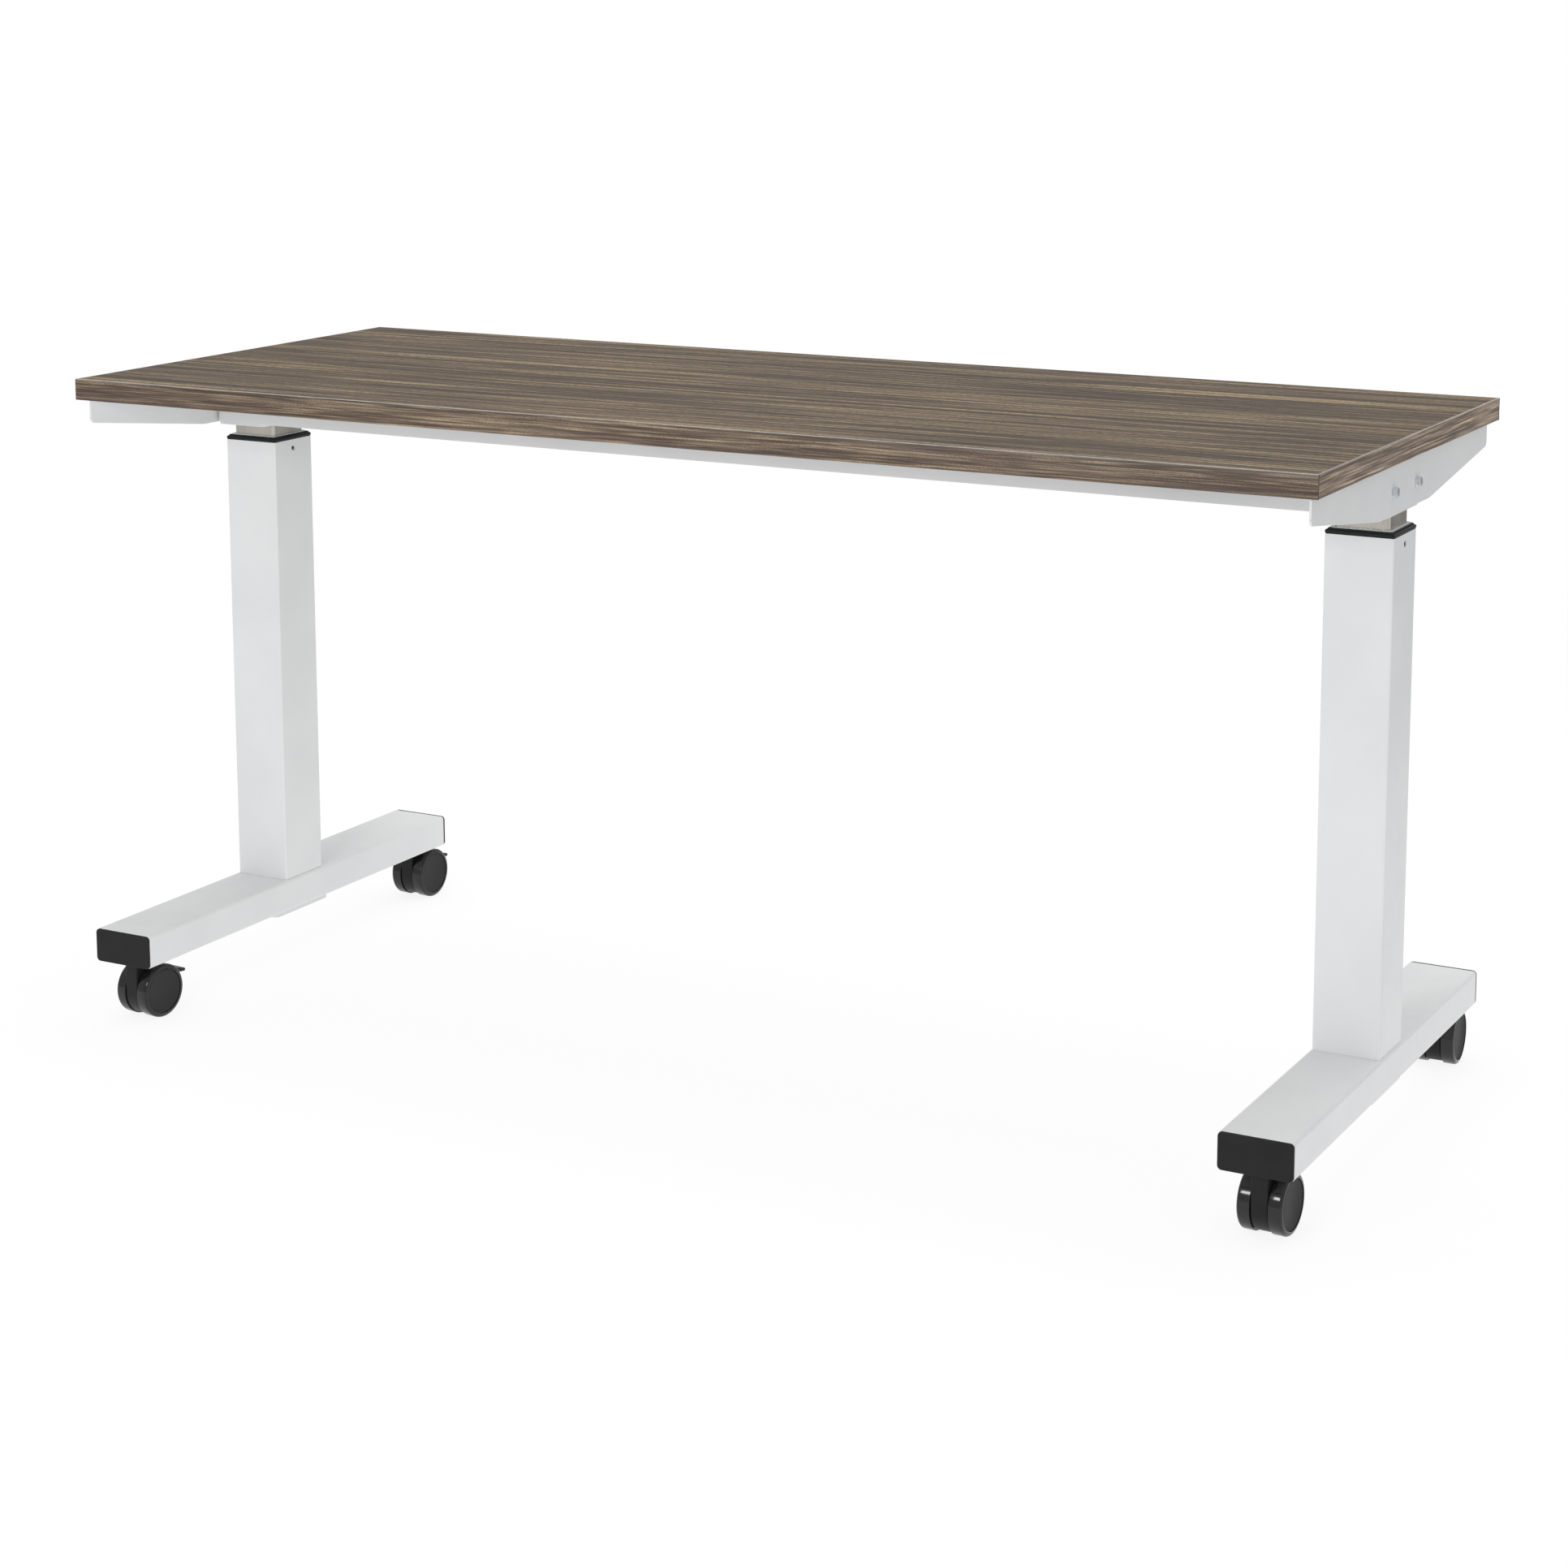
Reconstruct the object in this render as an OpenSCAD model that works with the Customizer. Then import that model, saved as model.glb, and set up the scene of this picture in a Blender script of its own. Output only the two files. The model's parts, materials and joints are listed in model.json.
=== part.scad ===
// Height-adjustable overbed table: a rectangular laminate top on two telescopic
// columns, each on a long foot with a twin-wheel braked caster at either end.
// Two lockable gas springs lift the top, and toothed belts on a cross shaft keep
// the columns level. Millimetres; X along the top, Y from front to back, Z up,
// floor at Z = 0. Everything is drawn at the lowest setting.

/* [Tabletop] */
// Length of the tabletop
top_len = 1524; // [1516:1:1640]
// Depth of the tabletop
top_depth = 609.6; // [600:0.1:640]
// Thickness of the tabletop
top_thick = 25; // [18:0.5:28]
// Height of the upper face of the tabletop at its lowest setting
top_z = 779; // [779:1:790]
// Thickness of the edge banding
band_t = 2; // [1:0.1:3]

/* [Columns] */
// Distance of each column's axis from the middle of the table
col_x = 716; // [700:1:716]
// Side of the square outer tube
outer_w = 75; // [75:0.5:78]
// Side of the square inner tube
inner_w = 60; // [60:0.5:61]
// Wall of both tubes
tube_wall = 2; // [1.5:0.1:2]
// Length of the outer tube above the foot
outer_len = 560; // [550:1:560]
// How far the top can rise
lift_travel = 400; // [300:1:400]

/* [Feet] */
// Overall length of a foot with its end caps
foot_len = 622; // [600:1:680]
// Width of a foot
foot_w = 80; // [80:1:90]
// Height of a foot
foot_h = 40; // [38:1:42]
// Gap between the floor and the underside of a foot
foot_z = 73; // [73:1:76]

/* [Casters] */
// Diameter of the caster wheels
wheel_d = 65; // [60:0.5:65]
// Width of one wheel of a twin
wheel_w = 14.7; // [12:0.1:16]
// Distance of the caster stem from the end of the foot
stem_inset = 25; // [22:0.5:40]
// Distance from the stem's axis back to the axle
trail = 21; // [20:0.5:22]
// Resting turn of the casters: front left, front right, back left, back right
caster_turn = [-4.9, -2.1, -0.5, 2.7]; // [-10:0.1:10]

/* [Arms and rails] */
// Length of the arms under the ends of the tabletop
arm_len = 586; // [560:1:590]
// Thickness of the folded sheet of the arms and rails
sheet = 2.5; // [2:0.1:3]
// Distance of each rail's outer face from the middle line
rail_y = 60; // [60:1:64]

/* [Hidden] */
$fn = 64;
gap = 0.3;                    // clearance between sliding faces
fit = 0.05;                   // radial clearance of a shaft in its bore

white = [0.87, 0.875, 0.88];
black = [0.09, 0.09, 0.095];
steel = [0.74, 0.73, 0.71];
zinc = [0.72, 0.74, 0.77];
nylon = [0.80, 0.81, 0.80];
walnut = [0.46, 0.41, 0.37];

// Levels
foot_top = foot_z + foot_h;
outer_top = foot_top + outer_len;
under_z = top_z - top_thick;          // underside of the tabletop
rail_top = under_z - sheet;           // the arm's flange lies between rail and top
rail_h = 53;
rail_z = rail_top - rail_h;
head_t = 3;                           // plate of the head bracket
inner_top = rail_z - head_t;
inner_z = foot_top + 22;              // lower end of the inner tube

// Casters
stem_y = foot_len / 2 - stem_inset;
wheel_r = wheel_d / 2;
wheel_in = 9.8;                       // inner face of a wheel from the caster's middle
body_half = 9.2;
body_r = 29.5;
neck_r = 10;
neck_top = foot_z - 2.7;
stem_r = 5.5;
axle_r = 4;
pedal_y = trail + 13;                 // brake pedal's hinge, from the stem
pedal_z = wheel_r + 20;
pedal_tip = trail + 49;
pedal_half = 12;
caster_at = [[-col_x, -stem_y], [col_x, -stem_y], [-col_x, stem_y], [col_x, stem_y]];

// The back casters' pedals reach furthest, so the frame's middle line lies a little
// forward of the middle of the whole outline, where the origin is.
back_reach = stem_y + pedal_tip * cos(caster_turn[3]) + pedal_half * sin(caster_turn[3]);
mid_y = -round(back_reach - foot_len / 2) / 2;

// Columns
outer_r = 2.5;
inner_r = 4;
bore_w = outer_w - 2 * tube_wall;     // inside of the outer tube
base_t = 8;                           // threaded plate welded in the outer tube's end
collar_h = 6;
glide_lip = 1;                        // part of the upper glide above the collar
glide_len = 52;
screw_drop = 11;                      // glide screw below the top of the outer tube

// Belts and cross shaft
belt_y = -14;                         // middle of the belt loop from the column's axis
pitch_r = 10;
belt_t = 1.4;
belt_w = 8;
shaft_z = rail_z + 23.5;
idler_z = inner_z + 30;
flange_r = 12.5;
journal_r = 4;
hex_r = 5.77;                         // corner radius of the 10 mm hexagon
bearing_x = 14;
post_top = outer_top - 28;

// Gas springs
gas_y = 12;
gas_r = 11;
rod_r = 5;
piston_r = 8.95;
gas_z = foot_top + base_t;
gas_len = lift_travel + 54;           // the cylinder holds the whole stroke
pin_r = 2;

// Release handle under the front edge
handle_x = 520;
handle_y = -210;
handle_z = under_z - 9.5;
handle_t = 4;
tongue_w = 50;
cable_r = 2.5;
cable_dx = 10;
ferrule_y = -142;

// ---- Shared shapes ----

// Moves a shape from the frame's middle line to the origin's line.
module from_middle() { translate([0, mid_y, 0]) children(); }

// The same shape on the left and the right column.
module both_columns() {
    for (side = [-1, 1]) from_middle() translate([side * col_x, 0, 0]) children();
}

// A shape drawn for the right-hand end, or mirrored for the left.
module on_side(side) {
    from_middle() mirror([side < 0 ? 1 : 0, 0, 0]) children();
}

module rounded_rect(w, d, r) {
    square([w - 2 * r, d], center = true);
    square([w, d - 2 * r], center = true);
    for (x = [-1, 1], y = [-1, 1]) translate([x * (w / 2 - r), y * (d / 2 - r)]) circle(r, $fn = 32);
}

module rounded_block(w, d, h, r) { linear_extrude(h) rounded_rect(w, d, r); }

module square_ring(w, hole, h, r, hole_r) {
    difference() {
        rounded_block(w, w, h, r);
        translate([0, 0, -1]) rounded_block(hole, hole, h + 2, hole_r);
    }
}

// A bar along X from a drawing in the Y-Z plane.
module along_x(x0, x1) {
    translate([x0, 0, 0]) rotate([90, 0, 90]) linear_extrude(x1 - x0) children();
}

module x_rod(x0, x1, r, sides = 48) {
    translate([x0, 0, 0]) rotate([0, 90, 0]) cylinder(h = x1 - x0, r = r, $fn = sides);
}

module y_rod(y0, y1, r) {
    translate([0, y0, 0]) rotate([-90, 0, 0]) cylinder(h = y1 - y0, r = r, $fn = 48);
}

// ---- Feet ----
cap_t = 3;
socket_r = 7.5;
plate_t = 6;
bolt_r = 4;
bolt_hole_r = 4.3;
foot_bolts = [[-20, -26], [20, -26], [-20, 26], [20, 26]];

module foot(side) {
    tube_len = foot_len - 2 * cap_t;
    from_middle() translate([side * col_x, 0, foot_z]) difference() {
        translate([0, tube_len / 2, foot_h / 2]) rotate([90, 0, 0]) difference() {
            rounded_block(foot_w, foot_h, tube_len, 4);
            translate([0, 0, -1]) rounded_block(foot_w - 4, foot_h - 4, tube_len + 2, 2);
        }
        for (y = [-1, 1]) translate([0, y * stem_y, -1]) cylinder(h = 4, r = socket_r);
        for (p = foot_bolts) translate([p[0], p[1], -1]) cylinder(h = foot_h + 2, r = bolt_hole_r);
    }
}
module foot_left() { color(white) foot(-1); }
module foot_right() { color(white) foot(1); }

module foot_cap() {
    plug_w = foot_w - 4.4;
    plug_h = foot_h - 4.4;
    rotate([90, 0, 0]) {
        rounded_block(foot_w, foot_h, cap_t, 5);
        translate([0, 0, -14]) difference() {
            rounded_block(plug_w, plug_h, 14, 2);
            translate([0, 0, -1]) rounded_block(plug_w - 5, plug_h - 5, 13, 1.5);
        }
    }
}
module foot_caps() {
    color(black) both_columns() for (a = [0, 180])
        rotate([0, 0, a]) translate([0, cap_t - foot_len / 2, foot_z + foot_h / 2]) foot_cap();
}

module foot_plates() {
    color(white) both_columns() translate([0, 0, foot_z - plate_t]) difference() {
        rounded_block(68, 108, plate_t, 8);
        for (p = foot_bolts) translate([p[0], p[1], -1]) cylinder(h = plate_t + 2, r = bolt_hole_r);
    }
}

module caster_socket() {
    translate([0, 0, foot_z]) difference() {
        union() {
            cylinder(h = 30, r = socket_r);
            translate([0, 0, -1.5]) cylinder(h = 1.5, r = 10);
        }
        translate([0, 0, -2]) cylinder(h = 29, r = stem_r + fit);
    }
}
module caster_sockets() {
    color(steel) from_middle() for (p = caster_at) translate([p[0], p[1], 0]) caster_socket();
}

// ---- Outer columns ----
glide_hole_r = 3.5;

module outer_tube() {
    difference() {
        union() {
            translate([0, 0, foot_top]) square_ring(outer_w, bore_w, outer_len, outer_r, 1);
            translate([0, 0, foot_top]) rounded_block(bore_w, bore_w, base_t, 1);
        }
        for (p = foot_bolts) translate([p[0], p[1], foot_top - 1])
            cylinder(h = base_t + 2, r = bolt_r + fit);
        translate([0, 0, outer_top - screw_drop]) x_rod(outer_w / 2 - 4, outer_w / 2 + 2, glide_hole_r);
    }
}
module outer_tube_left() { color(white) from_middle() translate([-col_x, 0, 0]) outer_tube(); }
module outer_tube_right() { color(white) from_middle() translate([col_x, 0, 0]) outer_tube(); }

neck_w = inner_w + 6.6;               // upper glide where it passes the collar

module collar() {
    translate([0, 0, outer_top]) {
        square_ring(outer_w + 1, neck_w, 4.2, 3, 4);
        translate([0, 0, 4.2]) square_ring(outer_w - 2.2, neck_w, collar_h - 4.2, 2, 4);
    }
}
module collar_left() { color(black) from_middle() translate([-col_x, 0, 0]) collar(); }
module collar_right() { color(black) from_middle() translate([col_x, 0, 0]) collar(); }

module upper_glides() {
    hole = inner_w + 2 * gap;
    body_h = glide_len - collar_h - glide_lip;
    color(nylon) both_columns() translate([0, 0, outer_top - body_h]) difference() {
        union() {
            square_ring(bore_w, hole, body_h, 1, inner_r + gap);
            translate([0, 0, body_h])
                square_ring(neck_w - 0.2, hole, collar_h + glide_lip, 4, inner_r + gap);
        }
        translate([0, 0, body_h - screw_drop]) x_rod(hole / 2 - 1, outer_w / 2, 2 + fit);
    }
}

module gas_cylinders() {
    gland_h = 12;
    color(black) both_columns() translate([0, gas_y, gas_z]) difference() {
        cylinder(h = gas_len, r = gas_r);
        translate([0, 0, 10]) cylinder(h = gas_len - 10 - gland_h, r = piston_r + fit);
        translate([0, 0, gas_len - gland_h - 1]) cylinder(h = gland_h + 2, r = rod_r + fit);
    }
}

// A flat post that holds a clamp round the rear run of the belt.
module belt_post() {
    run_y = belt_y + pitch_r;
    clamp_h = 25;
    slot = 0.5;
    translate([8, run_y - 4, gas_z]) cube([4, 8, post_top - gas_z]);
    translate([-2, run_y - 4, gas_z]) cube([14, 8, 4]);
    difference() {
        translate([-8, run_y - 5, post_top - clamp_h]) cube([20, 9, clamp_h]);
        translate([-belt_w / 2 - slot, run_y - belt_t / 2 - slot, post_top - clamp_h - 1])
            cube([belt_w + 2 * slot, belt_t + 2 * slot, clamp_h + 2]);
    }
}
module belt_posts() { color(steel) both_columns() belt_post(); }

module base_screws() {
    head_h = 3;
    color(zinc) both_columns() {
        for (p = foot_bolts) translate([p[0], p[1], foot_z - plate_t]) {
            translate([0, 0, -head_h]) cylinder(h = head_h, r = 7.5, $fn = 6);
            cylinder(h = plate_t + foot_h + base_t - 2, r = bolt_r);
        }
        translate([0, 0, outer_top - screw_drop]) {
            x_rod(inner_w / 2 + 1, bore_w / 2, 2);
            x_rod(bore_w / 2, bore_w / 2 + 1.2, 3.2);
        }
    }
}

// ---- Tabletop ----
pilot_r = 2.1;
pilot_h = 18;
arm_screw_x = col_x + 12;
arm_screws = [for (s = [-1, 1], y = [-250, -100, 100, 250]) [s * arm_screw_x, y]];
guide_screws = [for (x = [-38, 38], y = [-192, -146]) [handle_x + x, y]];

module tabletop() {
    color(walnut) from_middle() difference() {
        translate([band_t - top_len / 2, band_t - top_depth / 2, under_z])
            cube([top_len - 2 * band_t, top_depth - 2 * band_t, top_thick]);
        for (p = concat(arm_screws, guide_screws)) translate([p[0], p[1], under_z - 1])
            cylinder(h = pilot_h + 1, r = pilot_r);
    }
}

module edge_band() {
    side_len = top_depth - 2 * band_t - 0.2;   // a hairline seam at each corner
    color(walnut) from_middle() {
        for (y = [-top_depth / 2, top_depth / 2 - band_t])
            translate([-top_len / 2, y, under_z]) cube([top_len, band_t, top_thick]);
        for (x = [-top_len / 2, top_len / 2 - band_t])
            translate([x, -side_len / 2, under_z]) cube([band_t, side_len, top_thick]);
    }
}

// ---- Arms, rails and head brackets ----
arm_x = col_x + 36;                   // outer face of the arm's web
arm_depth = 56;
arm_end = 28;
arm_flat = 85;
arm_flange = 36;
bolt_y = 39;
bolt_z = under_z - 32;
arm_hole_r = 3.3;

module arm_outline() {
    r = 6;
    e = arm_len / 2;
    difference() {
        polygon([[-e, 0], [-e, -arm_end], [-arm_flat, -arm_depth], [arm_flat, -arm_depth],
            [e, -arm_end], [e, 0]]);
        // rounded lower end corners
        for (s = [-1, 1]) difference() {
            translate([s * (e - r / 2 + 1), -arm_end + r / 2 - 2]) square([r + 2, r + 4], center = true);
            translate([s * (e - r), -arm_end + r - 0.75]) circle(r);
        }
    }
}
module arm(side) {
    bend = 4;
    on_side(side) difference() {
        union() {
            translate([0, 0, under_z]) intersection() {
                along_x(arm_x - sheet, arm_x) arm_outline();
                translate([arm_x - 10, -arm_len / 2, -arm_depth]) cube([10, arm_len, arm_depth - bend]);
            }
            translate([arm_x - arm_flange, -arm_len / 2, under_z - sheet])
                cube([arm_flange - bend, arm_len, sheet]);
            // folded corner between web and flange
            translate([arm_x - bend, arm_len / 2, under_z - bend]) rotate([90, 0, 0])
                linear_extrude(arm_len) intersection() {
                    difference() {
                        circle(bend);
                        circle(bend - sheet);
                    }
                    square(bend);
                }
        }
        for (y = [-bolt_y, bolt_y]) translate([0, y, bolt_z]) x_rod(arm_x - 10, arm_x + 2, arm_hole_r);
        for (p = arm_screws) if (p[0] > 0) translate([p[0], p[1], under_z - 4]) cylinder(h = 5, r = 2.4);
    }
}
module arm_left() { color(white) arm(-1); }
module arm_right() { color(white) arm(1); }

rail_len = 2 * (arm_x - 6);
cable_hole_z = under_z - 18;

// C-channel, open towards the middle line.
module rail_channel() {
    lip = 20;
    along_x(-rail_len / 2, rail_len / 2) {
        translate([-rail_y, rail_z]) square([sheet, rail_h]);
        translate([-rail_y, rail_z]) square([lip, sheet]);
        translate([-rail_y, rail_top - sheet]) square([lip, sheet]);
    }
}
module rail_front() {
    color(white) from_middle() difference() {
        rail_channel();
        for (dx = [-cable_dx, cable_dx]) translate([handle_x + dx, 0, cable_hole_z])
            y_rod(-rail_y - 1, -rail_y + 5, 6);
    }
}
module rail_back() { color(white) from_middle() mirror([0, 1, 0]) rail_channel(); }

side_plate_y = rail_y - sheet - 1;
module head_bracket(side) {
    plate_x0 = col_x - 38;
    plate_x1 = arm_x - sheet;
    on_side(side) difference() {
        union() {
            translate([(plate_x0 + plate_x1) / 2, 0, inner_top])
                rounded_block(plate_x1 - plate_x0, 2 * rail_y, head_t, 10);
            translate([plate_x1 - head_t, -side_plate_y, rail_z])
                cube([head_t, 2 * side_plate_y, rail_h - 6]);
        }
        for (y = [-bolt_y, bolt_y]) translate([0, y, bolt_z]) x_rod(plate_x1 - 10, plate_x1 + 2, arm_hole_r);
        translate([col_x, gas_y, inner_top - 1]) cylinder(h = head_t + 2, r = rod_r + 0.3);
        translate([col_x - 6, belt_y - 12, inner_top - 1]) cube([12, 24, head_t + 2]);
    }
}
module head_bracket_left() { color(white) head_bracket(-1); }
module head_bracket_right() { color(white) head_bracket(1); }

module arm_bolts() {
    web = arm_x;
    nut_x = arm_x - sheet - head_t;
    color(zinc) for (side = [-1, 1], y = [-bolt_y, bolt_y]) on_side(side) translate([0, y, bolt_z]) {
        x_rod(web, web + 1.2, 6);
        x_rod(web + 1.2, web + 5.2, hex_r, 6);
        x_rod(nut_x - 8, web, 3);
        difference() {
            x_rod(nut_x - 5, nut_x, hex_r, 6);
            x_rod(nut_x - 6, nut_x + 1, 3);
        }
    }
}

module top_screws() {
    module screw(head_z) {
        translate([0, 0, head_z]) cylinder(h = 2.2, r = 4.2);
        translate([0, 0, head_z + 2.2]) cylinder(h = 19, r = 2);
    }
    color(zinc) from_middle() for (p = concat(arm_screws, guide_screws))
        translate([p[0], p[1], 0]) screw(under_z - sheet - 2.2);
}

// ---- Inner columns ----
rail_screw_x = -7;                    // round head on the front of the inner tube
rail_screw_z = inner_top - 1.5;

module inner_tube() {
    difference() {
        translate([0, 0, inner_z])
            square_ring(inner_w, inner_w - 2 * tube_wall, inner_top - inner_z, inner_r, 2);
        // hole for the idler's pin in the left wall
        translate([0, belt_y, idler_z]) x_rod(-inner_w / 2 - 1, -inner_w / 2 + 4, 3);
    }
    // riveted head that shows just under the rail
    translate([rail_screw_x, -inner_w / 2, rail_screw_z]) intersection() {
        y_rod(-1.6, 0, 4.5);
        translate([-5, -2, -6]) cube([10, 2, 6 + 1.5]);
    }
}
module inner_tube_left() { color(steel) from_middle() translate([-col_x, 0, 0]) inner_tube(); }
module inner_tube_right() { color(steel) from_middle() translate([col_x, 0, 0]) inner_tube(); }

module lower_glides() {
    color(nylon) both_columns() translate([0, 0, inner_z]) difference() {
        square_ring(bore_w - 2 * gap, inner_w, 50, 1, inner_r);
        translate([0, belt_y, idler_z - inner_z]) x_rod(-bore_w, -inner_w / 2 + 1, 4.2);
    }
}

module gas_rods() {
    piston_z = gas_z + 24;
    rod_top = rail_z + 13.5;
    color(steel) both_columns() translate([0, gas_y, 0]) difference() {
        union() {
            translate([0, 0, piston_z]) cylinder(h = rod_top - piston_z, r = rod_r);
            translate([0, 0, piston_z]) cylinder(h = 12, r = piston_r);
            translate([0, 0, rail_z]) cylinder(h = 8, r = 9.2, $fn = 6);
        }
        translate([0, 0, rail_z - 14]) cylinder(h = 40, r = pin_r + fit);
    }
}

// ---- Belts and cross shaft ----
module belt_loop(r) {
    translate([belt_y, shaft_z]) circle(r);
    translate([belt_y, idler_z]) circle(r);
    translate([belt_y - r, idler_z]) square([2 * r, shaft_z - idler_z]);
}
module sync_belts() {
    color(black) both_columns() along_x(-belt_w / 2, belt_w / 2) difference() {
        belt_loop(pitch_r + belt_t / 2);
        belt_loop(pitch_r - belt_t / 2);
    }
}

// Flanged belt wheel with its axis along X.
module pulley(bore_r) {
    groove_r = pitch_r - belt_t / 2 - gap;
    groove = belt_w / 2 + 0.5;
    side_t = 1.2;
    difference() {
        union() {
            x_rod(-groove, groove, groove_r);
            for (x = [-groove - side_t, groove]) x_rod(x, x + side_t, flange_r);
        }
        x_rod(-groove - 2, groove + 2, bore_r);
    }
}
module sync_pulleys() {
    color(black) both_columns() translate([0, belt_y, shaft_z]) pulley(journal_r);
}
module sync_shaft() {
    hex_half = col_x - 26;
    journal_end = col_x + 20;
    color(steel) from_middle() translate([0, belt_y, shaft_z]) {
        x_rod(-hex_half, hex_half, hex_r, 6);
        x_rod(-journal_end, -hex_half, journal_r);
        x_rod(hex_half, journal_end, journal_r);
    }
}
module shaft_bearings() {
    block = 8;
    color(black) both_columns() for (x = [-bearing_x, bearing_x])
        translate([x - block / 2, belt_y - 10, rail_z]) difference() {
            cube([block, 20, shaft_z - rail_z + 9]);
            translate([0, 10, shaft_z - rail_z]) x_rod(-1, block + 1, journal_r + fit);
        }
}
module idler_pins() {
    color(steel) both_columns() translate([0, belt_y, idler_z]) {
        x_rod(-inner_w / 2 - 0.8, 6.5, 3);
        x_rod(6.5, 7.4, 4.5);
    }
}
module idler_left() {
    color(black) from_middle() translate([-col_x, belt_y, idler_z]) pulley(3 + fit);
}
module idler_right() {
    color(black) from_middle() translate([col_x, belt_y, idler_z]) pulley(3 + fit);
}

// ---- Release handle, cables and valve pins ----
module release_handle() {
    paddle_w = 110;
    color(black) from_middle() translate([handle_x, 0, handle_z]) {
        translate([0, handle_y - 15, 0]) rounded_block(paddle_w, 30, handle_t, 6);
        translate([-tongue_w / 2, handle_y - 6, 0]) cube([tongue_w, 66, handle_t]);
        for (dx = [-cable_dx, cable_dx]) translate([dx, 0, handle_t / 2]) y_rod(handle_y + 60, -122, 0.8);
    }
}
module handle_guide() {
    g_y0 = handle_y + 6;
    g_y1 = -130;
    half = tongue_w / 2 + gap;
    tab_y = ferrule_y + 6;
    ledge_z = handle_z - gap - 1.7;
    color(steel) from_middle() translate([handle_x, 0, 0]) difference() {
        union() {
            translate([-45, g_y0, under_z - sheet]) cube([90, g_y1 - g_y0, sheet]);
            for (s = [0, 1]) mirror([s, 0, 0]) {
                translate([half, g_y0, ledge_z]) cube([3, 44, under_z - sheet - ledge_z]);
                translate([half - 6, g_y0, ledge_z]) cube([6, 44, 1.7]);
            }
            translate([-20, tab_y, handle_z - 3]) cube([40, 3, under_z - sheet - handle_z + 3]);
        }
        for (p = guide_screws) translate([p[0] - handle_x, p[1], under_z - 4]) cylinder(h = 5, r = 2.4);
        for (dx = [-cable_dx, cable_dx]) translate([dx, 0, handle_z + handle_t / 2])
            y_rod(tab_y - 1, tab_y + 4, 3);
    }
}

// Cable routes, from the ferrule at the handle to the release head on each gas spring.
head_wall = 13;                       // release head from its rod's axis
cable_z = handle_z + handle_t / 2;
entry_z = rail_z + 18.5;
route_right = [
    [handle_x + 10, -118, cable_z], [handle_x + 10, -100, cable_z - 2],
    [handle_x + 10, -80, cable_hole_z + 2], [handle_x + 10, -58, cable_hole_z],
    [handle_x + 12, -38, cable_hole_z], [handle_x + 20, -15, cable_hole_z + 1],
    [handle_x + 38, 3, cable_hole_z - 3], [handle_x + 65, 11, entry_z + 8],
    [handle_x + 100, 12, entry_z + 1], [handle_x + 140, 12, entry_z],
    [col_x - head_wall, 12, entry_z]];
route_left = [
    [handle_x - 10, -118, cable_z], [handle_x - 10, -100, cable_z - 2],
    [handle_x - 10, -80, cable_hole_z + 2], [handle_x - 10, -58, cable_hole_z],
    [handle_x - 12, -38, cable_hole_z], [handle_x - 22, -12, cable_hole_z + 1],
    [handle_x - 42, 12, cable_hole_z - 4], [handle_x - 70, 32, cable_hole_z - 16],
    [handle_x - 105, 45, cable_hole_z - 29], [handle_x - 145, 48, rail_z + 5.2],
    [100, 48, rail_z + 5.2], [-300, 48, rail_z + 5.2], [-600, 48, rail_z + 5.2],
    [-640, 42, rail_z + 8], [-668, 25, rail_z + 14], [-686, 14, entry_z],
    [head_wall - col_x, 12, entry_z]];

function spline(p0, p1, p2, p3, t) = 0.5 * (2 * p1 + (p2 - p0) * t
    + (2 * p0 - 5 * p1 + 4 * p2 - p3) * t * t + (3 * p1 - p0 - 3 * p2 + p3) * t * t * t);
function smooth(route, steps) = let (n = len(route)) [
    for (i = [0:n - 2], k = [0:steps - 1])
        spline(route[max(i - 1, 0)], route[i], route[i + 1], route[min(i + 2, n - 1)], k / steps),
    route[n - 1]];
function unit(v) = v / norm(v);

// A round tube swept along a path as one closed mesh.
module swept(path, r, sides) {
    n = len(path);
    ring = function(i) let (
        d = unit(path[min(i + 1, n - 1)] - path[max(i - 1, 0)]),
        side = unit(cross(d, [0, 0, 1])),
        up = cross(side, d))
        [for (k = [0:sides - 1]) path[i] + r * (side * cos(360 * k / sides) + up * sin(360 * k / sides))];
    points = [for (i = [0:n - 1]) each ring(i)];
    walls = [for (i = [0:n - 2], k = [0:sides - 1]) let (m = (k + 1) % sides)
        [i * sides + k, i * sides + m, (i + 1) * sides + m, (i + 1) * sides + k]];
    first = [for (k = [sides - 1:-1:0]) k];
    last = [for (k = [0:sides - 1]) (n - 1) * sides + k];
    polyhedron(points, concat([first], walls, [last]));
}
module release_cables() {
    ferrule_len = 24;
    color(black) from_middle() {
        for (dx = [-cable_dx, cable_dx]) translate([handle_x + dx, 0, cable_z]) difference() {
            y_rod(ferrule_y, ferrule_y + ferrule_len, 3);
            y_rod(ferrule_y - 1, ferrule_y + ferrule_len - 3, 1.2);
        }
        swept(smooth(route_right, 2), cable_r, 8);
        swept(smooth(route_left, 3), cable_r, 8);
    }
}
module release_heads() {
    color(black) both_columns() translate([0, gas_y, rail_z + 8]) difference() {
        translate([-head_wall, -10, 0]) cube([2 * head_wall, 20, 19]);
        translate([0, 0, -1]) cylinder(h = 7, r = rod_r + fit);
        translate([0, 0, 5.5]) cylinder(h = 9, r = 7);
    }
}
module valve_pin(side) {
    pin_z = rail_z - 11;
    from_middle() translate([side * col_x, gas_y, pin_z]) cylinder(h = 28, r = pin_r);
}
module valve_pin_left() { color(steel) valve_pin(-1); }
module valve_pin_right() { color(steel) valve_pin(1); }

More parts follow.
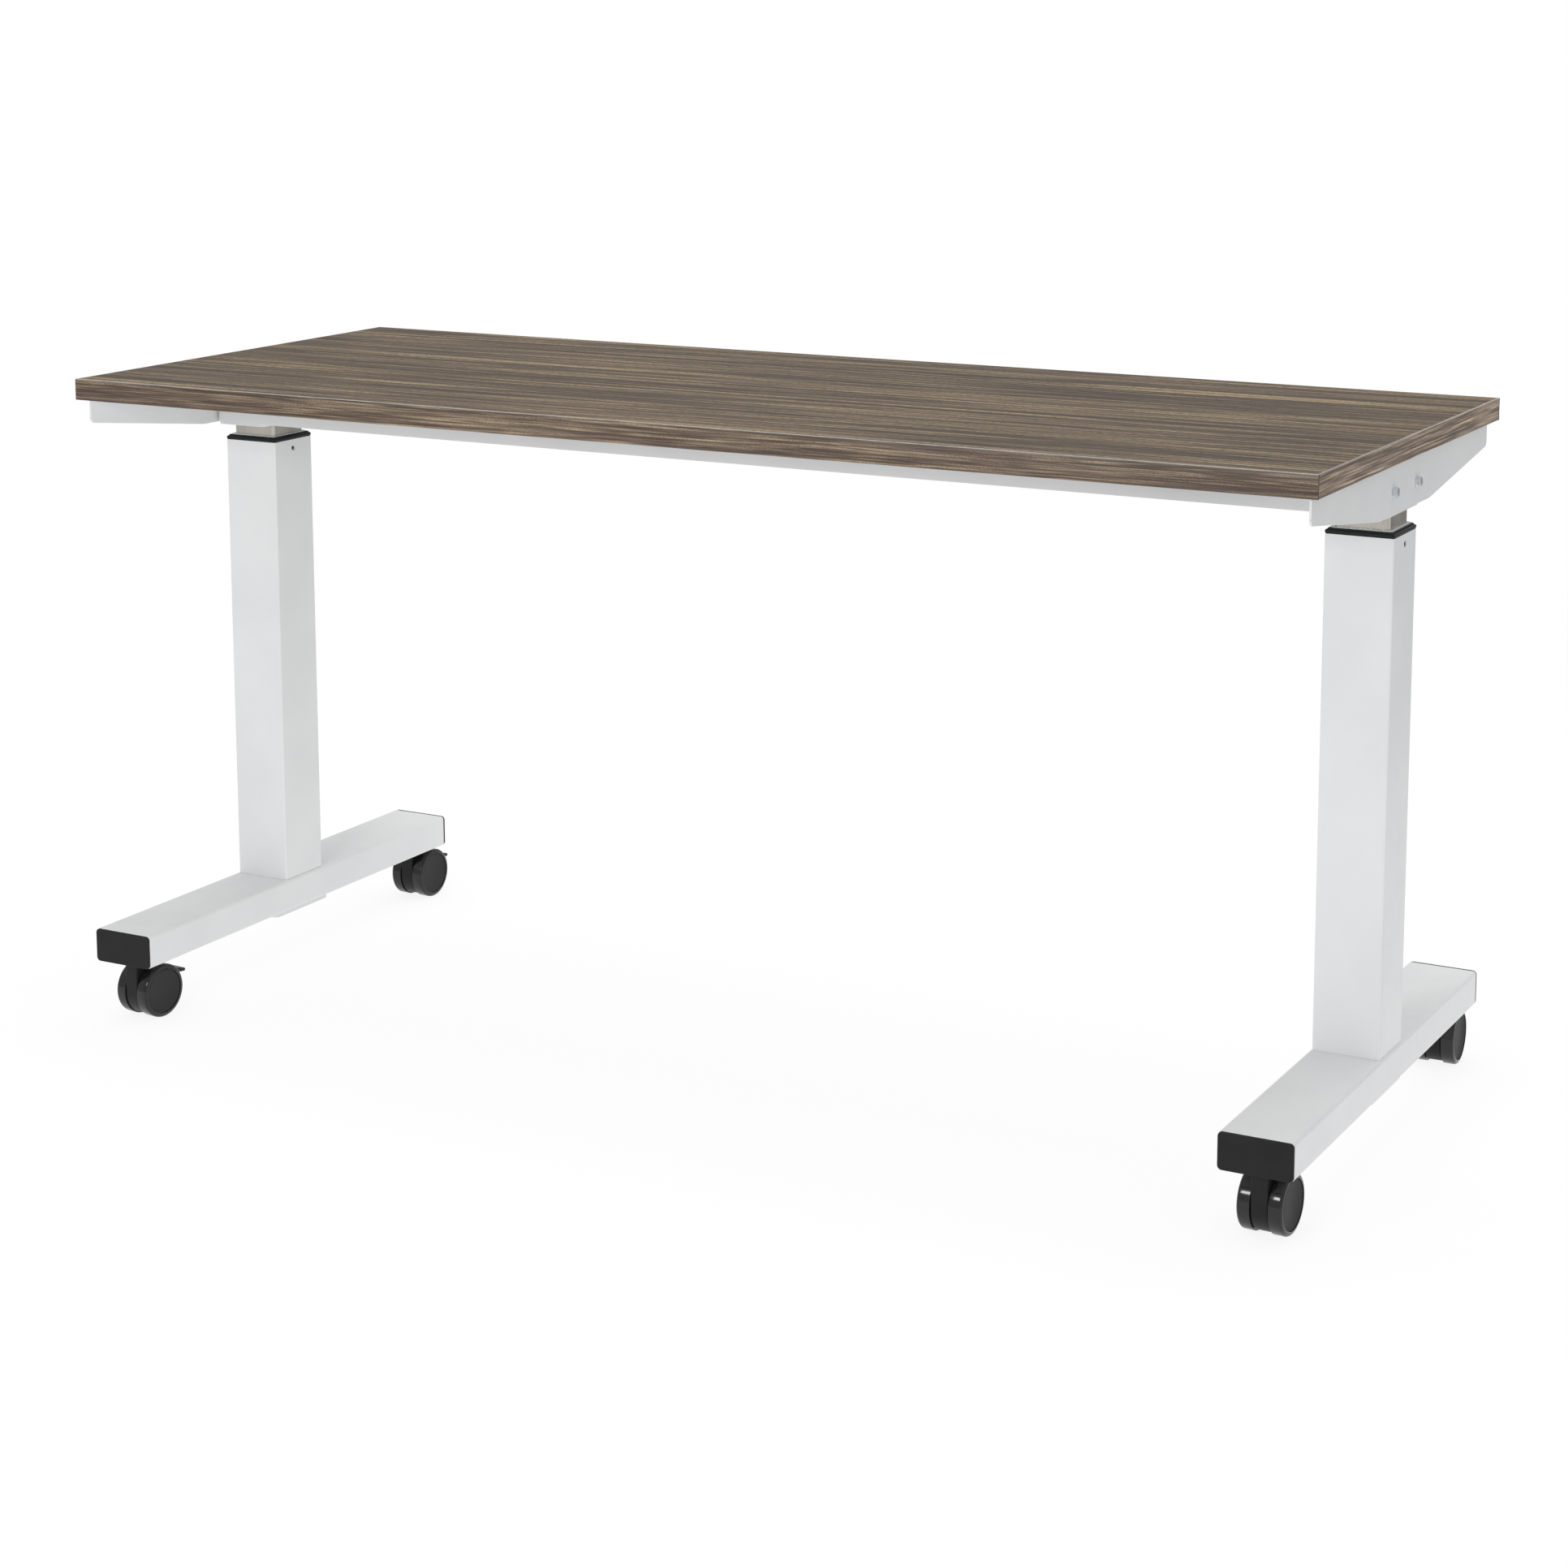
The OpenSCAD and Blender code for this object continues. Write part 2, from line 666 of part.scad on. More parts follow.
// ---- Casters ----
// Each caster is drawn with its stem on the Z axis and its axle behind it, then put
// in its place by number: 0 front left, 1 front right, 2 back left, 3 back right.
module at_caster(i) {
    from_middle() translate([caster_at[i][0], caster_at[i][1], 0]) rotate([0, 0, caster_turn[i]]) children();
}
module pedal_pocket() {
    translate([pedal_y, pedal_z]) circle(5.4);
    translate([pedal_y - 5.4, pedal_z]) square([34, 20]);
    polygon([[pedal_y - 5.4, pedal_z], [pedal_y + 28.6, pedal_z], [pedal_y + 28.6, pedal_z - 24],
        [pedal_y + 6, pedal_z - 18], [pedal_y + 1, pedal_z - 5.3]]);
}
tongue_half = 3.3;                    // part of the body that carries the pedal

module caster_body(i) {
    color(black) at_caster(i) difference() {
        union() {
            translate([0, trail, wheel_r]) x_rod(-body_half, body_half, body_r, 96);
            along_x(-body_half, body_half) polygon([[0, neck_top - 4], [0, wheel_r + 3], [trail, wheel_r],
                [trail + 3, wheel_r + body_r - 0.4], [neck_r + 2, neck_top - 4]]);
            // round neck, flattened where it stands between the wheels
            difference() {
                translate([0, 0, wheel_r + 3]) cylinder(h = neck_top - wheel_r - 3, r = neck_r);
                for (side = [0, 1]) mirror([side, 0, 0])
                    translate([body_half, -neck_r, 0]) cube([5, 2 * neck_r, wheel_d]);
            }
        }
        translate([0, 0, neck_top - 22]) cylinder(h = 30, r = stem_r);
        translate([0, trail, wheel_r]) x_rod(-20, 20, axle_r);
        for (s = [0, 1]) mirror([s, 0, 0]) along_x(tongue_half, 20) pedal_pocket();
        translate([0, pedal_y, pedal_z]) x_rod(-20, 20, 2 + fit);
    }
}
module caster_body_fl() { caster_body(0); }
module caster_body_fr() { caster_body(1); }
module caster_body_bl() { caster_body(2); }
module caster_body_br() { caster_body(3); }

module caster_pins(i) {
    axle_half = 21;
    color(steel) at_caster(i) {
        translate([0, 0, neck_top - 22]) cylinder(h = 50, r = stem_r);
        translate([0, trail, wheel_r]) x_rod(-axle_half, axle_half, axle_r);
    }
}
module caster_pins_fl() { caster_pins(0); }
module caster_pins_fr() { caster_pins(1); }
module caster_pins_bl() { caster_pins(2); }
module caster_pins_br() { caster_pins(3); }

// Half section of a wheel: radius outward, width from the inner face up.
module wheel_section() {
    round_r = 4;
    disc_r = 26.5;
    points = concat(
        [[axle_r + fit, 0], [9, 0], [10, 2], [25, 2], [26, 0], [wheel_r - 1, 0], [wheel_r, 1]],
        [for (a = [0:15:90]) [wheel_r - round_r + round_r * cos(a), wheel_w - round_r + round_r * sin(a)]],
        [[disc_r + 1.2, wheel_w], [disc_r + 0.6, wheel_w - 1.1], [disc_r, wheel_w - 1.1],
            [disc_r - 0.6, wheel_w - 0.5], [0, wheel_w - 0.5], [0, wheel_w - 3],
            [axle_r + fit, wheel_w - 3]]);
    polygon(points);
}
module wheel(i, side) {
    color(black) at_caster(i) translate([side * wheel_in, trail, wheel_r])
        rotate([0, side * 90, 0]) rotate_extrude($fn = 96) wheel_section();
}
module wheel_fl_left() { wheel(0, -1); }
module wheel_fl_right() { wheel(0, 1); }
module wheel_fr_left() { wheel(1, -1); }
module wheel_fr_right() { wheel(1, 1); }
module wheel_bl_left() { wheel(2, -1); }
module wheel_bl_right() { wheel(2, 1); }
module wheel_br_left() { wheel(3, -1); }
module wheel_br_right() { wheel(3, 1); }

module brake_pedal(i) {
    cheek = 8.5;
    slot_y = trail + 31.5;             // the cheeks join behind the body
    color(black) at_caster(i) difference() {
        union() {
            translate([0, pedal_y, pedal_z]) x_rod(-cheek, cheek, 4.5);
            along_x(-cheek, cheek) polygon([[pedal_y - 1, pedal_z + 4.4], [pedal_y + 16, pedal_z],
                [pedal_tip - 12, pedal_z - 3], [pedal_tip - 12, pedal_z - 8.5],
                [pedal_y + 16, pedal_z - 7], [pedal_y + 2, pedal_z - 4]]);
            along_x(-pedal_half, pedal_half) polygon([[pedal_tip - 13, pedal_z - 2.8],
                [pedal_tip - 1, pedal_z - 6], [pedal_tip, pedal_z - 7.5], [pedal_tip, pedal_z - 9],
                [pedal_tip - 2, pedal_z - 10], [pedal_tip - 13, pedal_z - 8.6]]);
        }
        difference() {
            translate([-tongue_half - gap, pedal_y - 10, pedal_z - 20])
                cube([2 * (tongue_half + gap), slot_y - pedal_y + 10, 40]);
            translate([0, pedal_y, pedal_z]) x_rod(-5, 5, 2);
        }
    }
}
module brake_pedal_fl() { brake_pedal(0); }
module brake_pedal_fr() { brake_pedal(1); }
module brake_pedal_bl() { brake_pedal(2); }
module brake_pedal_br() { brake_pedal(3); }

// ---- Assembly ----
foot_left();
foot_right();
foot_caps();
foot_plates();
caster_sockets();
outer_tube_left();
outer_tube_right();
collar_left();
collar_right();
upper_glides();
gas_cylinders();
belt_posts();
base_screws();
tabletop();
edge_band();
arm_left();
arm_right();
rail_front();
rail_back();
head_bracket_left();
head_bracket_right();
inner_tube_left();
inner_tube_right();
lower_glides();
gas_rods();
sync_belts();
shaft_bearings();
idler_pins();
handle_guide();
release_cables();
release_heads();
arm_bolts();
top_screws();
sync_shaft();
sync_pulleys();
idler_left();
idler_right();
release_handle();
valve_pin_left();
valve_pin_right();
caster_body_fl();
caster_body_fr();
caster_body_bl();
caster_body_br();
caster_pins_fl();
caster_pins_fr();
caster_pins_bl();
caster_pins_br();
wheel_fl_left();
wheel_fl_right();
wheel_fr_left();
wheel_fr_right();
wheel_bl_left();
wheel_bl_right();
wheel_br_left();
wheel_br_right();
brake_pedal_fl();
brake_pedal_fr();
brake_pedal_bl();
brake_pedal_br();
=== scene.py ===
"""Looks of the height-adjustable overbed table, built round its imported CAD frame. Metres, Z up."""
import json
import math

import bmesh
import bpy
from mathutils import Matrix, Vector


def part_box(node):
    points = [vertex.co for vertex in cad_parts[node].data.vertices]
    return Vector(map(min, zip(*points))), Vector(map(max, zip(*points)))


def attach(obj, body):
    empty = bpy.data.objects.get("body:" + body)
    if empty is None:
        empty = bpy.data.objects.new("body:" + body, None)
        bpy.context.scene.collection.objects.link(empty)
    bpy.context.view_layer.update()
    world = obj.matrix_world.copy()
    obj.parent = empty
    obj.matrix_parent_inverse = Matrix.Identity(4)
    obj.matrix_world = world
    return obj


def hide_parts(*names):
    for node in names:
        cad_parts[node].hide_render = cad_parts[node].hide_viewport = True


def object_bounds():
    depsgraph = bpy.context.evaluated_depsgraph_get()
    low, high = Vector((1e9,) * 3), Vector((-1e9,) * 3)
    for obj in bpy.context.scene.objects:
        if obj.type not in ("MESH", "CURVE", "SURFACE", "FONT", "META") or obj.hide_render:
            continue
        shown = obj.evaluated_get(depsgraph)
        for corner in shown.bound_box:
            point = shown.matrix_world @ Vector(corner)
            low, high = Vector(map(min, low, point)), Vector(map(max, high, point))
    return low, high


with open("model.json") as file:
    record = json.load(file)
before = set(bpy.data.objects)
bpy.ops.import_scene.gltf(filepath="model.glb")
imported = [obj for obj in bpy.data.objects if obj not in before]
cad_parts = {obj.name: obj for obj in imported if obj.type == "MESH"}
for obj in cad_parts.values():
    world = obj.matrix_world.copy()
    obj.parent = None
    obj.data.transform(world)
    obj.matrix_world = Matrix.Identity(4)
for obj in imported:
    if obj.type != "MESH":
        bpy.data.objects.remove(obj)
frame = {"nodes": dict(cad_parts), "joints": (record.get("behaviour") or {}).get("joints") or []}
cad_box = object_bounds()
nodes = frame["nodes"]

MM = 0.001
CASTERS = ("fl", "fr", "bl", "br")
SIDES = ("left", "right")


def joint_of(body):
    """The joint that a body hangs on."""
    return next(joint for joint in frame["joints"] if joint["child"] == body)


# ---- Shapes ----

def add_mesh(name, bm, materials, smooth_angle=35.0):
    """Turns a bmesh into an object with smooth faces and sharp edges above an angle in degrees."""
    bmesh.ops.recalc_face_normals(bm, faces=bm.faces)
    mesh = bpy.data.meshes.new(name)
    bm.to_mesh(mesh)
    bm.free()
    for material in materials:
        mesh.materials.append(material)
    mesh.shade_smooth()
    mesh.set_sharp_from_angle(angle=math.radians(smooth_angle))
    piece = bpy.data.objects.new(name, mesh)
    bpy.context.scene.collection.objects.link(piece)
    return piece


def skin(bm, rings, closed=False):
    """Faces between rings of equally many points.

    closed joins the last ring to the first. Otherwise both ends are capped."""
    rows = [[bm.verts.new(point) for point in ring] for ring in rings]
    count = len(rows[0])
    pairs = list(zip(rows, rows[1:])) + ([(rows[-1], rows[0])] if closed else [])
    for low, high in pairs:
        for i in range(count):
            j = (i + 1) % count
            bm.faces.new((low[i], low[j], high[j], high[i]))
    if not closed:
        bm.faces.new(rows[0][::-1])
        bm.faces.new(rows[-1])


def rounded_rect(half_x, half_y, radius, steps):
    """Points of a rectangle with round corners, about the origin."""
    points = []
    for turn, (sx, sy) in enumerate(((1, 1), (-1, 1), (-1, -1), (1, -1))):
        for k in range(steps + 1):
            a = math.radians(90 * (turn + k / steps))
            points.append((sx * (half_x - radius) + radius * math.cos(a),
                           sy * (half_y - radius) + radius * math.sin(a)))
    return points


def arc(cx, cy, radius, start, end, steps):
    """Points of a circle's arc, angles in degrees."""
    angles = (math.radians(start + (end - start) * k / steps) for k in range(steps + 1))
    return [(cx + radius * math.cos(a), cy + radius * math.sin(a)) for a in angles]


def lathe(bm, section, place, count=112):
    """Turns a closed section of (radius, height) points about place's Z axis."""
    rings = []
    for k in range(count):
        a = 2 * math.pi * k / count
        rings.append([place @ Vector((r * math.cos(a), r * math.sin(a), h)) for r, h in section])
    skin(bm, rings, closed=True)


def bevelled_box(bm, low, high, radius, test, steps):
    """A box with the edges that pass a test rounded.

    The test gets an edge's middle and its direction."""
    made = bmesh.ops.create_cube(bm, size=1.0)
    for v in made["verts"]:
        v.co = [low[i] + (v.co[i] + 0.5) * (high[i] - low[i]) for i in range(3)]
    chosen = [e for e in bm.edges
              if test((e.verts[0].co + e.verts[1].co) / 2, e.verts[1].co - e.verts[0].co)]
    bmesh.ops.bevel(bm, geom=chosen, offset=radius, segments=steps, profile=0.5, affect="EDGES")


def solids(name):
    """Lowest and highest corners of the separate solids in a CAD node, in order of X, Y and Z."""
    bm = bmesh.new()
    bm.from_mesh(nodes[name].data)
    bmesh.ops.remove_doubles(bm, verts=bm.verts, dist=0.001 * MM)
    left = set(bm.verts)
    boxes = []
    while left:
        front = [left.pop()]
        points = []
        while front:
            vert = front.pop()
            points.append(vert.co.copy())
            for other in (edge.other_vert(vert) for edge in vert.link_edges):
                if other in left:
                    left.discard(other)
                    front.append(other)
        low, high = ([pick(p[i] for p in points) for i in range(3)] for pick in (min, max))
        boxes.append((Vector(low), Vector(high)))
    bm.free()
    return sorted(boxes, key=lambda box: [round(c, 4) for c in box[0]])


def facing(at, direction):
    """A frame at a point whose Z axis points along a direction."""
    return Matrix.Translation(at) @ Vector(direction).to_track_quat("Z", "Y").to_matrix().to_4x4()


def hex_solid(bm, place, across, low, high, both=False):
    """A hexagon head or nut from low to high along place's Z, its corners chamfered above.

    both chamfers them below too."""
    half = across / 2
    crown = half * 0.95
    slope = math.tan(math.radians(30))
    sides = []
    for k in range(72):
        a = math.radians(5 * k)
        sides.append((a, half / math.cos((a + math.pi / 6) % (math.pi / 3) - math.pi / 6)))

    def crown_loop(height):
        return [place @ Vector((crown * math.cos(a), crown * math.sin(a), height))
                for a, _ in sides]

    def corner_loop(height, fall):
        drops = [fall * (r - crown) * slope for _, r in sides]
        return [place @ Vector((r * math.cos(a), r * math.sin(a), height - drop))
                for (a, r), drop in zip(sides, drops)]

    rings = [crown_loop(low), corner_loop(low, -1)] if both else [corner_loop(low, 0)]
    skin(bm, rings + [corner_loop(high, 1), crown_loop(high)])


def turned(bm, place, outline, count=48):
    """A solid turned about place's Z axis.

    outline is (radius, height) from one end to the other."""
    spokes = [math.tau * k / count for k in range(count)]
    skin(bm, [[place @ Vector((radius * math.cos(a), radius * math.sin(a), height)) for a in spokes]
              for radius, height in outline])


def thread(radius, pitch, low, high):
    """Outline of a threaded rod, as rings at its crests and roots."""
    root = radius - 0.6 * pitch
    points = [(root, low)]
    for k in range(int((high - low) / pitch)):
        points += [(radius, low + (k + 0.5) * pitch), (root, low + (k + 1) * pitch)]
    return points + [(root, high)]


# ---- Materials ----

class Finish:
    """A Principled material and short calls for the nodes in front of it."""

    def __init__(self, name, **sockets):
        self.material = bpy.data.materials.new(name)
        self.material.use_nodes = True
        self.tree = self.material.node_tree
        self.shader = self.tree.nodes["Principled BSDF"]
        self.place = self.node("ShaderNodeTexCoord").outputs["Object"]
        for socket, value in sockets.items():
            self.shader.inputs[socket.replace("_", " ")].default_value = value

    def node(self, kind, **settings):
        made = self.tree.nodes.new(kind)
        for key, value in settings.items():
            setattr(made, key, value)
        return made

    def feed(self, socket, value):
        """Links a node's output to a socket, or sets the socket to a plain value."""
        if isinstance(value, bpy.types.NodeSocket):
            self.tree.links.new(value, socket)
        else:
            socket.default_value = value

    def scaled(self, x, y, z, place=None, offset=(0, 0, 0)):
        """Object coordinates times so many cycles a metre along each axis."""
        mapping = self.node("ShaderNodeMapping")
        self.feed(mapping.inputs["Vector"], place or self.place)
        mapping.inputs["Scale"].default_value = (x, y, z)
        mapping.inputs["Location"].default_value = offset
        return mapping.outputs["Vector"]

    def noise(self, vector, detail=2.0, roughness=0.5, distortion=0.0):
        made = self.node("ShaderNodeTexNoise")
        self.feed(made.inputs["Vector"], vector)
        made.inputs["Scale"].default_value = 1.0
        made.inputs["Detail"].default_value = detail
        made.inputs["Roughness"].default_value = roughness
        made.inputs["Distortion"].default_value = distortion
        return made.outputs["Fac"]

    def math(self, operation, a, b=0.0):
        made = self.node("ShaderNodeMath", operation=operation)
        self.feed(made.inputs[0], a)
        self.feed(made.inputs[1], b)
        return made.outputs[0]

    def ramp(self, fac, stops):
        """A colour ramp. stops are (position, colour or grey)."""
        made = self.node("ShaderNodeValToRGB")
        self.feed(made.inputs["Fac"], fac)
        elements = made.color_ramp.elements
        while len(elements) < len(stops):
            elements.new(0.5)
        for element, (position, colour) in zip(elements, stops):
            element.position = position
            element.color = (*((colour,) * 3 if isinstance(colour, float) else colour), 1.0)
        return made.outputs["Color"]

    def spread(self, fac, low, high, to_low, to_high):
        """Maps a value from one range to another."""
        made = self.node("ShaderNodeMapRange")
        for socket, value in zip(("Value", "From Min", "From Max", "To Min", "To Max"),
                                 (fac, low, high, to_low, to_high)):
            self.feed(made.inputs[socket], value)
        return made.outputs["Result"]

    def mix(self, fac, a, b, blend="MIX"):
        made = self.node("ShaderNodeMix", data_type="RGBA", blend_type=blend)
        self.feed(made.inputs[0], fac)
        self.feed(made.inputs[6], a)
        self.feed(made.inputs[7], b)
        return made.outputs[2]

    def bump(self, height, depth, strength=1.0):
        """Bumps of a depth in metres."""
        made = self.node("ShaderNodeBump")
        made.inputs["Distance"].default_value = depth
        made.inputs["Strength"].default_value = strength
        self.feed(made.inputs["Height"], height)
        return made.outputs["Normal"]

    def paint(self, socket, value):
        self.feed(self.shader.inputs[socket], value)


def rgba(r, g, b):
    return (r, g, b, 1.0)


def powder_coat():
    """White satin powder coat: orange peel, and a slight unevenness of tone and gloss."""
    f = Finish("white_powder_coat", Specular_IOR_Level=0.4)
    cloudy = f.noise(f.scaled(9, 9, 9), 3.0)
    f.paint("Base Color", f.ramp(cloudy, [(0.35, (0.765, 0.772, 0.782)),
                                          (0.65, (0.80, 0.806, 0.814))]))
    peel = f.noise(f.scaled(520, 520, 520), 2.0)
    f.paint("Roughness", f.spread(f.noise(f.scaled(60, 60, 60), 4.0), 0.3, 0.7, 0.34, 0.46))
    f.paint("Normal", f.bump(peel, 0.00006, 0.5))
    return f.material


def bright_tube():
    """Drawn bright steel: long cloudy patches in tone and gloss, and faint lines lengthways."""
    f = Finish("bright_tube", Metallic=1.0)
    cloudy = f.noise(f.scaled(30, 30, 9), 2.0, 0.5, 0.3)
    lines = f.noise(f.scaled(380, 380, 5), 1.0)
    f.paint("Base Color", f.ramp(cloudy, [(0.32, (0.56, 0.525, 0.465)),
                                          (0.68, (0.68, 0.65, 0.60))]))
    f.paint("Roughness", f.math("ADD", f.spread(cloudy, 0.3, 0.7, 0.26, 0.33),
                                f.spread(lines, 0.3, 0.7, -0.02, 0.02)))
    f.paint("Normal", f.bump(lines, 0.000003, 0.4))
    return f.material


def plain_steel():
    """Turned or sheared plain steel, with a light oil-dulled surface."""
    f = Finish("plain_steel", Metallic=1.0)
    cloudy = f.noise(f.scaled(120, 120, 120), 4.0, 0.6)
    grain = f.noise(f.scaled(1800, 1800, 1800), 2.0)
    f.paint("Base Color", f.ramp(cloudy, [(0.3, (0.36, 0.35, 0.34)), (0.7, (0.52, 0.51, 0.50))]))
    f.paint("Roughness", f.spread(grain, 0.3, 0.7, 0.28, 0.46))
    f.paint("Normal", f.bump(grain, 0.00002, 0.5))
    return f.material


def zinc_plate():
    """Blue-passivated zinc on screws and bolts: a bluish, slightly crystalline plating."""
    f = Finish("zinc_plate", Metallic=0.9)
    cells = f.node("ShaderNodeTexVoronoi")
    f.feed(cells.inputs["Vector"], f.scaled(900, 900, 900))
    cells.inputs["Scale"].default_value = 1.0
    tint = f.noise(f.scaled(260, 260, 260), 2.0)
    plating = f.ramp(tint, [(0.35, (0.62, 0.68, 0.74)), (0.65, (0.80, 0.83, 0.85))])
    f.paint("Base Color", f.mix(0.25, plating, cells.outputs["Color"], "SOFT_LIGHT"))
    f.paint("Roughness", f.spread(tint, 0.3, 0.7, 0.16, 0.28))
    f.paint("Normal", f.bump(cells.outputs["Distance"], 0.00002, 0.4))
    return f.material


def moulded(name, low, high, rough, grain=900, depth=0.00004, specular=0.3):
    """A moulded plastic with a spark-eroded grain.

    low and high are its darkest and lightest tone, and depth is the grain's, in metres."""
    f = Finish(name, Specular_IOR_Level=specular)
    cloudy = f.noise(f.scaled(25, 25, 25), 3.0)
    texture = f.noise(f.scaled(grain, grain, grain), 3.0, 0.6)
    f.paint("Base Color", f.ramp(cloudy, [(0.3, low), (0.7, high)]))
    f.paint("Roughness", f.math("ADD", f.spread(cloudy, 0.3, 0.7, rough - 0.04, rough + 0.04),
                                f.spread(texture, 0.3, 0.7, -0.03, 0.05)))
    f.paint("Normal", f.bump(texture, depth, 0.6))
    return f.material


WOOD_DRIFT = 1.0                      # in widths of a streak, to either side
WOOD_DARK = (0.040, 0.028, 0.022)
WOOD_BROWN = (0.085, 0.062, 0.044)
WOOD_MID = (0.165, 0.128, 0.089)
WOOD_TAN = (0.345, 0.280, 0.192)
WOOD_PLUM_DARK = (0.078, 0.057, 0.048)
WOOD_PLUM = (0.128, 0.097, 0.078)


def wood_print(f, along_y, across, shift, gain, contrast):
    """Colour and height of a printed walnut grain whose streaks run along X, or along Y.

    across is the number of streaks a metre at right angles to the grain, shift picks another
    part of the pattern, gain scales red, green and blue, and contrast is how strong the
    streaks and dark lines are."""
    def field(along, side, low, high, **settings):
        x, y = (side, along) if along_y else (along, side)
        pattern = f.noise(f.scaled(x, y, side, bent, (shift, 0, 0)), **settings)
        return f.spread(pattern, low, high, 0.0, 1.0)

    # the streaks wander from side to side
    x, y = (5.0, 1.1) if along_y else (1.1, 5.0)
    drift = f.noise(f.scaled(x, y, 5.0, offset=(shift, 0, 0)), detail=3.0)
    sway = WOOD_DRIFT / across
    push = f.spread(drift, 0.0, 1.0, -sway, sway)
    bend = f.node("ShaderNodeCombineXYZ")
    f.feed(bend.inputs[0 if along_y else 1], push)
    f.feed(bend.inputs[2], push)
    add = f.node("ShaderNodeVectorMath", operation="ADD")
    f.feed(add.inputs[0], f.place)
    f.feed(add.inputs[1], bend.outputs["Vector"])
    bent = add.outputs["Vector"]

    along = across / 80
    bands = field(0.5 * along, across * 0.14, 0.36, 0.64, detail=1.0)
    streaks = field(1.3 * along, across * 1.3, 0.33, 0.67, detail=2.0, roughness=0.7)
    fibres = field(4.0 * along, across * 2.2, 0.34, 0.66, detail=2.0)
    lines = field(1.6 * along, across * 1.5, 0.57, 0.65, detail=1.0)
    pores = field(2.2 * across, across * 5.5, 0.46, 0.66, detail=1.0)
    hue = field(0.6 * along, across * 0.5, 0.40, 0.62, detail=1.0)
    tone = f.math("ADD", f.math("MULTIPLY", streaks, 0.50), f.math("MULTIPLY", bands, 0.10))
    tone = f.math("ADD", tone, f.math("MULTIPLY", fibres, 0.40))
    tone = f.spread(tone, 0.0, 1.0, 0.5 - contrast / 2, 0.5 + contrast / 2)

    def lit(colour):
        return tuple(g * c for g, c in zip(gain, colour))

    tan = f.ramp(tone, [(0.20, lit(WOOD_DARK)), (0.42, lit(WOOD_BROWN)),
                        (0.56, lit(WOOD_MID)), (0.80, lit(WOOD_TAN))])
    plum = f.ramp(tone, [(0.20, lit(WOOD_DARK)), (0.42, lit(WOOD_PLUM_DARK)),
                         (0.60, lit(WOOD_PLUM)), (0.85, lit(WOOD_MID))])
    colour = f.mix(f.math("MULTIPLY", hue, 0.7), tan, plum)
    dark = rgba(*lit(WOOD_DARK))
    colour = f.mix(f.math("MULTIPLY", lines, 0.72 * contrast), colour, dark)
    speck = f.math("MULTIPLY", pores, 0.62)
    return f.mix(speck, colour, dark), f.math("SUBTRACT", fibres, speck)


def laminate_top(under):
    """Printed laminate with its grain along the table, and a pale backing sheet below."""
    f = Finish("laminate_top", Specular_IOR_Level=0.12)
    colour, height = wood_print(f, along_y=False, across=80, shift=0.0,
                                gain=(1.00, 0.915, 0.74), contrast=1.12)
    split = f.node("ShaderNodeSeparateXYZ")
    f.feed(split.inputs[0], f.place)
    below = f.math("LESS_THAN", split.outputs["Z"], under + 0.3 * MM)
    backing = f.ramp(f.noise(f.scaled(300, 300, 300), 4.0),
                     [(0.3, (0.46, 0.45, 0.42)), (0.7, (0.56, 0.55, 0.52))])
    f.paint("Base Color", f.mix(below, colour, backing))
    f.paint("Roughness", f.spread(f.noise(f.scaled(40, 200, 40), 3.0), 0.3, 0.7, 0.48, 0.58))
    f.paint("Normal", f.bump(height, 0.00004, 0.5))
    return f.material


def edge_banding(name, along_y, shift, gain):
    """Printed edge banding, its grain along the strip."""
    f = Finish(name, Specular_IOR_Level=0.4)
    colour, height = wood_print(f, along_y, across=330, shift=shift, gain=gain, contrast=0.8)
    f.paint("Base Color", colour)
    f.paint("Roughness", f.spread(f.noise(f.scaled(50, 50, 50), 3.0), 0.3, 0.7, 0.34, 0.44))
    f.paint("Normal", f.bump(height, 0.00005, 0.5))
    return f.material


def scraped_edge():
    """A painted highlight: the pale, slightly ragged line along the banding's rounded upper corner.
    """
    f = Finish("scraped_edge", Specular_IOR_Level=0.4)
    ragged = f.noise(f.scaled(90, 90, 900), 4.0, 0.7)
    f.paint("Base Color", f.ramp(ragged, [(0.3, (0.27, 0.25, 0.225)), (0.7, (0.47, 0.45, 0.42))]))
    f.paint("Roughness", f.spread(ragged, 0.3, 0.7, 0.38, 0.52))
    f.paint("Normal", f.bump(ragged, 0.00004, 0.5))
    return f.material


BLACK = (0.0085, 0.0085, 0.009)
under_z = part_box("tabletop")[0].z

